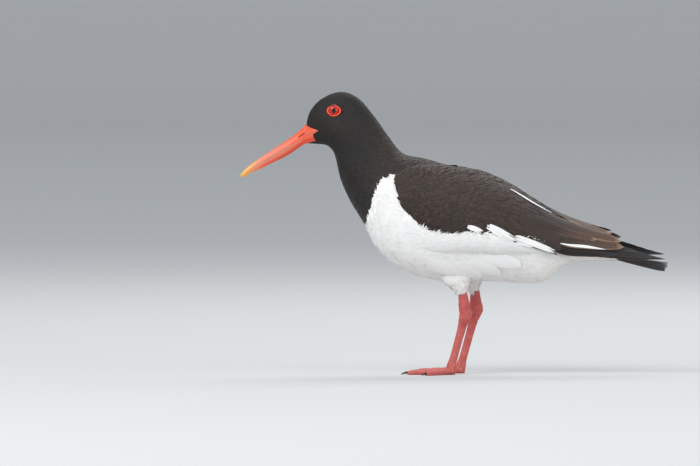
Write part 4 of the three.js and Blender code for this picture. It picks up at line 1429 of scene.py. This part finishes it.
def thigh_stations(leg):
    kx, kz = leg["knee"]
    return [
        [kx - 5.5, kz + 14, 19, 8], [kx - 3.6, kz + 5, 14.5, 7.5], [kx - 1.8, kz - 1, 10, 6.4],
        [kx - 0.8, kz - 6, 6.6, 5.2], [kx - 0.2, kz - THIGH_END + 1, 4.3, 3.8],
    ]


def thigh(name, side, leg):
    y = side * LEG_SPREAD
    stations = thigh_stations(leg)
    inner = np.array(stations) - np.array([0, 0, 1, 1])
    points, faces = closed_tube(limb_rings(inner, y, 40, 40))
    piece = make_object(f"thigh_skin_{name}", points, faces, SKIN, UNDER_WHITE)
    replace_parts(piece, f"thigh_{name}")
    surface = lambda p, q: limb_surface(stations, y, p, q)
    bed = Bed(surface, (0.02, 0.02), (0, 4, -1, 8), 1, limb_map(THIGH_MAPS[side], 4))
    p = rng.uniform(0.3, 3.8, THIGH_FEATHERS)
    root = stack(p, rng.uniform(0, TAU, THIGH_FEATHERS))
    size = stack(np.interp(p, [0.3, 3.8], [13, 6.5]), np.interp(p, [0.3, 3.8], [3.2, 1.2]))
    rise = stack(-0.4, 0.1 + 1.1 * rng.uniform(0, 1, THIGH_FEATHERS) ** 5)
    paint = plain(mix(WHITE, WARM_WHITE, 0.45), 0.05)
    lay(
        f"thigh_feathers_{name}", bed, SMALL_VANE, root, size, rise, paint, pointed=0.85,
        scatter=0.16, bend=0.05, material=WHITE_FEATHER,
    )


for name, side in SIDES.items():
    leg, y = LEGS[name], side * LEG_SPREAD
    points, faces = leg_mesh(leg, y)
    piece = make_object(f"bare_leg_{name}", points, faces, LEG_SKIN, leg_shade(points))
    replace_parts(piece, *(f"{part}_{name}" for part in ("shin", "tarsus", "foot")))
    for toe, (angle, length, radius) in TOES.items():
        points, faces = toe_mesh(leg, y, angle, length, radius)
        piece = make_object(f"toe_skin_{name}_{toe}", points, faces, LEG_SKIN, leg_shade(points))
        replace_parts(piece, f"toe_{name}_{toe}")
        points, faces = claw_mesh(leg, y, angle, length)
        piece = make_object(f"nail_{name}_{toe}", points, faces, claw_paint)
        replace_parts(piece, f"claw_{name}_{toe}")
    thigh(name, side, leg)


# Tail

TAIL = {
    "x": 143.4, "z": 115.0, "length": 62.6, "drop": 11.2, "root": 8.5, "spread": 15.0, "width": 13.0,
    "arch": 0.009, "fan": 3.4,
}
TAIL_FEATHERS = 12
TAIL_COVERTS = 420
BAND_START = 158.0  # where the tail turns from white to black

# The white root of the tail: x, half width, top and underside
TAIL_BASE = np.array(
    [[138, 13, 118.6, 109.2], [146, 12.2, 117, 109.2], [152, 11.5, 115, 109.2], [160, 9, 112.6, 109.3]]
)


def tail_base_surface(p, q):
    row = smooth_rows(TAIL_BASE, p)
    middle, reach = (row[..., 2] + row[..., 3]) / 2, (row[..., 2] - row[..., 3]) / 2
    return stack(row[..., 0], row[..., 1] * np.sin(q), middle + reach * np.cos(q))


def tail_feathers():
    shape, triangles = LARGE_VANE
    v, t, face = shape.T
    middle = (TAIL_FEATHERS - 1) / 2
    out = (np.arange(TAIL_FEATHERS) - middle)[:, None]
    share = out / middle
    length = TAIL["length"] - 2.5 * share**2 + rng.uniform(-0.6, 0.4, (TAIL_FEATHERS, 1))
    half = TAIL["width"] / 2 * (0.75 + 0.25 * t) * outline(t, 0.3)
    y = share * (TAIL["root"] + (TAIL["spread"] - TAIL["root"]) * t) + half * v
    sag = TAIL["arch"] * y**2 * (0.5 + 0.5 * t) + 0.42 * np.abs(out) * (0.4 + 0.6 * t)
    crown = 0.3 * (1 - v**2) - np.sign(out) * v * 0.22
    body = 0.22 * face * (1 - v**2) * np.sin(np.pi * np.clip(t, 0.05, 0.95))
    x = TAIL["x"] + length * t
    drop = TAIL["drop"] - TAIL["fan"] * (1 - np.abs(share))
    z = TAIL["z"] - drop * t - sag + crown + body
    points = stack(x, y, z)
    local = stack(np.abs(v) * half + length * t * 0.9, half * v, 7 * out)
    band = x + 0.12 * np.abs(y) + wave_noise(points, 6, 21)
    black = step(BAND_START - 1.5, BAND_START + 1.5, band)
    shade = mix(WARM_WHITE, TAIL_BLACK, black) * rng.uniform(0.85, 1.15, (TAIL_FEATHERS, 1, 1))
    maps = patches(on_map(TAIL_MAP, 0.8, share[:, 0] * 0.4 + 0.5), shape)
    faces = repeated(triangles, len(shape), TAIL_FEATHERS)
    return make_object(
        "tail_feathers", points.reshape(-1, 3), faces, DARK_FEATHER,
        shade.reshape(-1, 3), maps, local.reshape(-1, 3),
    )


def tail_coverts():
    p, q = grid((0, 3), 20, (0, TAU), 40, closed=True)
    rings = tail_base_surface(p, q)
    middle = rings.mean(1, keepdims=True)
    rings[..., 1:] = middle[..., 1:] + (rings - middle)[..., 1:] * 0.85
    points, faces = closed_tube(rings)
    make_object("tail_skin", points, faces, SKIN, UNDER_WHITE)
    bed = Bed(tail_base_surface, (0.02, 0.02), (0, 3, -1, 8), 1, limb_map(TAIL_MAP, 3))
    root = stack(rng.uniform(0, 2.0, TAIL_COVERTS), rng.uniform(0, TAU, TAIL_COVERTS))
    size = stack(rng.uniform(9, 14, TAIL_COVERTS), rng.uniform(3.5, 5.5, TAIL_COVERTS))
    rise = stack(-0.6, rng.uniform(0.0, 0.4, TAIL_COVERTS))
    lay(
        "tail_coverts", bed, SMALL_VANE, root, size, rise, plain(WARM_WHITE, 0.03), pointed=0.35,
        crown=0.02, material=WHITE_FEATHER,
    )


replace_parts(tail_feathers(), "tail")
tail_coverts()


# Floor, light and camera

PHOTO_WIDTH = 0.672  # metres across the picture at the bird
VIEW_DISTANCE = 11.0
VIEW_HEIGHT_DEG = 1.5
LOOK_AT = Vector((-0.0989, 0.0, 0.1354))
PALE = (0.6, 0.6, 0.59)
FLOOR_REACH = 14.0
WALL_CURVE = 3.0
WALL_TOP = 12.0
LENS_SENSOR = 36  # millimetres
LIGHTS = {  # place, size and power
    "key": ((-1.6, -2.2, 2.6), 2.6, 75),
    "fill": ((2.4, -2.4, 1.2), 2.4, 26),
    "back": ((0.8, 2.0, 2.4), 2.0, 34),
}
LIT_PLACE = (0, 0, 0.14)
SKY_COLOUR = (0.88, 0.93, 1.0, 1)
SKY_STRENGTH = 0.72


def studio():
    material, _, _ = shader("studio", Roughness=0.9, Base_Color=(*PALE, 1))
    profile = [(-FLOOR_REACH, 0.0), (FLOOR_REACH, 0.0)]
    for i in range(1, 13):
        turn = math.pi / 2 * i / 12
        profile.append((FLOOR_REACH + WALL_CURVE * math.sin(turn), WALL_CURVE * (1 - math.cos(turn))))
    profile.append((FLOOR_REACH + WALL_CURVE, WALL_TOP))
    points = []
    for y, z in profile:
        points += [(-FLOOR_REACH, y, z), (FLOOR_REACH, y, z)]
    faces = [[2 * i, 2 * i + 1, 2 * i + 3, 2 * i + 2] for i in range(len(profile) - 1)]
    mesh = bpy.data.meshes.new("studio_floor")
    mesh.from_pydata(points, [], faces)
    mesh.materials.append(material)
    for polygon in mesh.polygons:
        polygon.use_smooth = True
    floor = bpy.data.objects.new("studio_floor", mesh)
    bpy.context.scene.collection.objects.link(floor)


def area_light(name, place, size, power):
    data = bpy.data.lights.new(name, "AREA")
    data.shape = "DISK"
    data.size = size
    data.energy = power
    lamp = bpy.data.objects.new(name, data)
    bpy.context.scene.collection.objects.link(lamp)
    lamp.location = place
    lamp.rotation_euler = (Vector(LIT_PLACE) - Vector(place)).to_track_quat("-Z", "Y").to_euler()


def camera():
    data = bpy.data.cameras.new("camera")
    data.sensor_width = LENS_SENSOR
    data.lens = LENS_SENSOR * VIEW_DISTANCE / PHOTO_WIDTH
    data.clip_end = 100
    eye = bpy.data.objects.new("camera", data)
    bpy.context.scene.collection.objects.link(eye)
    lean = math.radians(VIEW_HEIGHT_DEG)
    target = LOOK_AT + Vector((SHIFT[0] * MM, 0, 0))
    eye.location = target + Vector((0, -math.cos(lean), math.sin(lean))) * VIEW_DISTANCE
    eye.rotation_euler = (target - eye.location).to_track_quat("-Z", "Y").to_euler()
    bpy.context.scene.camera = eye


studio()
for name, (place, size, power) in LIGHTS.items():
    area_light(name, place, size, power)
world = bpy.data.worlds.new("sky")
bpy.context.scene.world = world
world.use_nodes = True
sky = world.node_tree.nodes["Background"]
sky.inputs["Color"].default_value = SKY_COLOUR
sky.inputs["Strength"].default_value = SKY_STRENGTH
bpy.context.scene.view_settings.view_transform = "Standard"
camera()
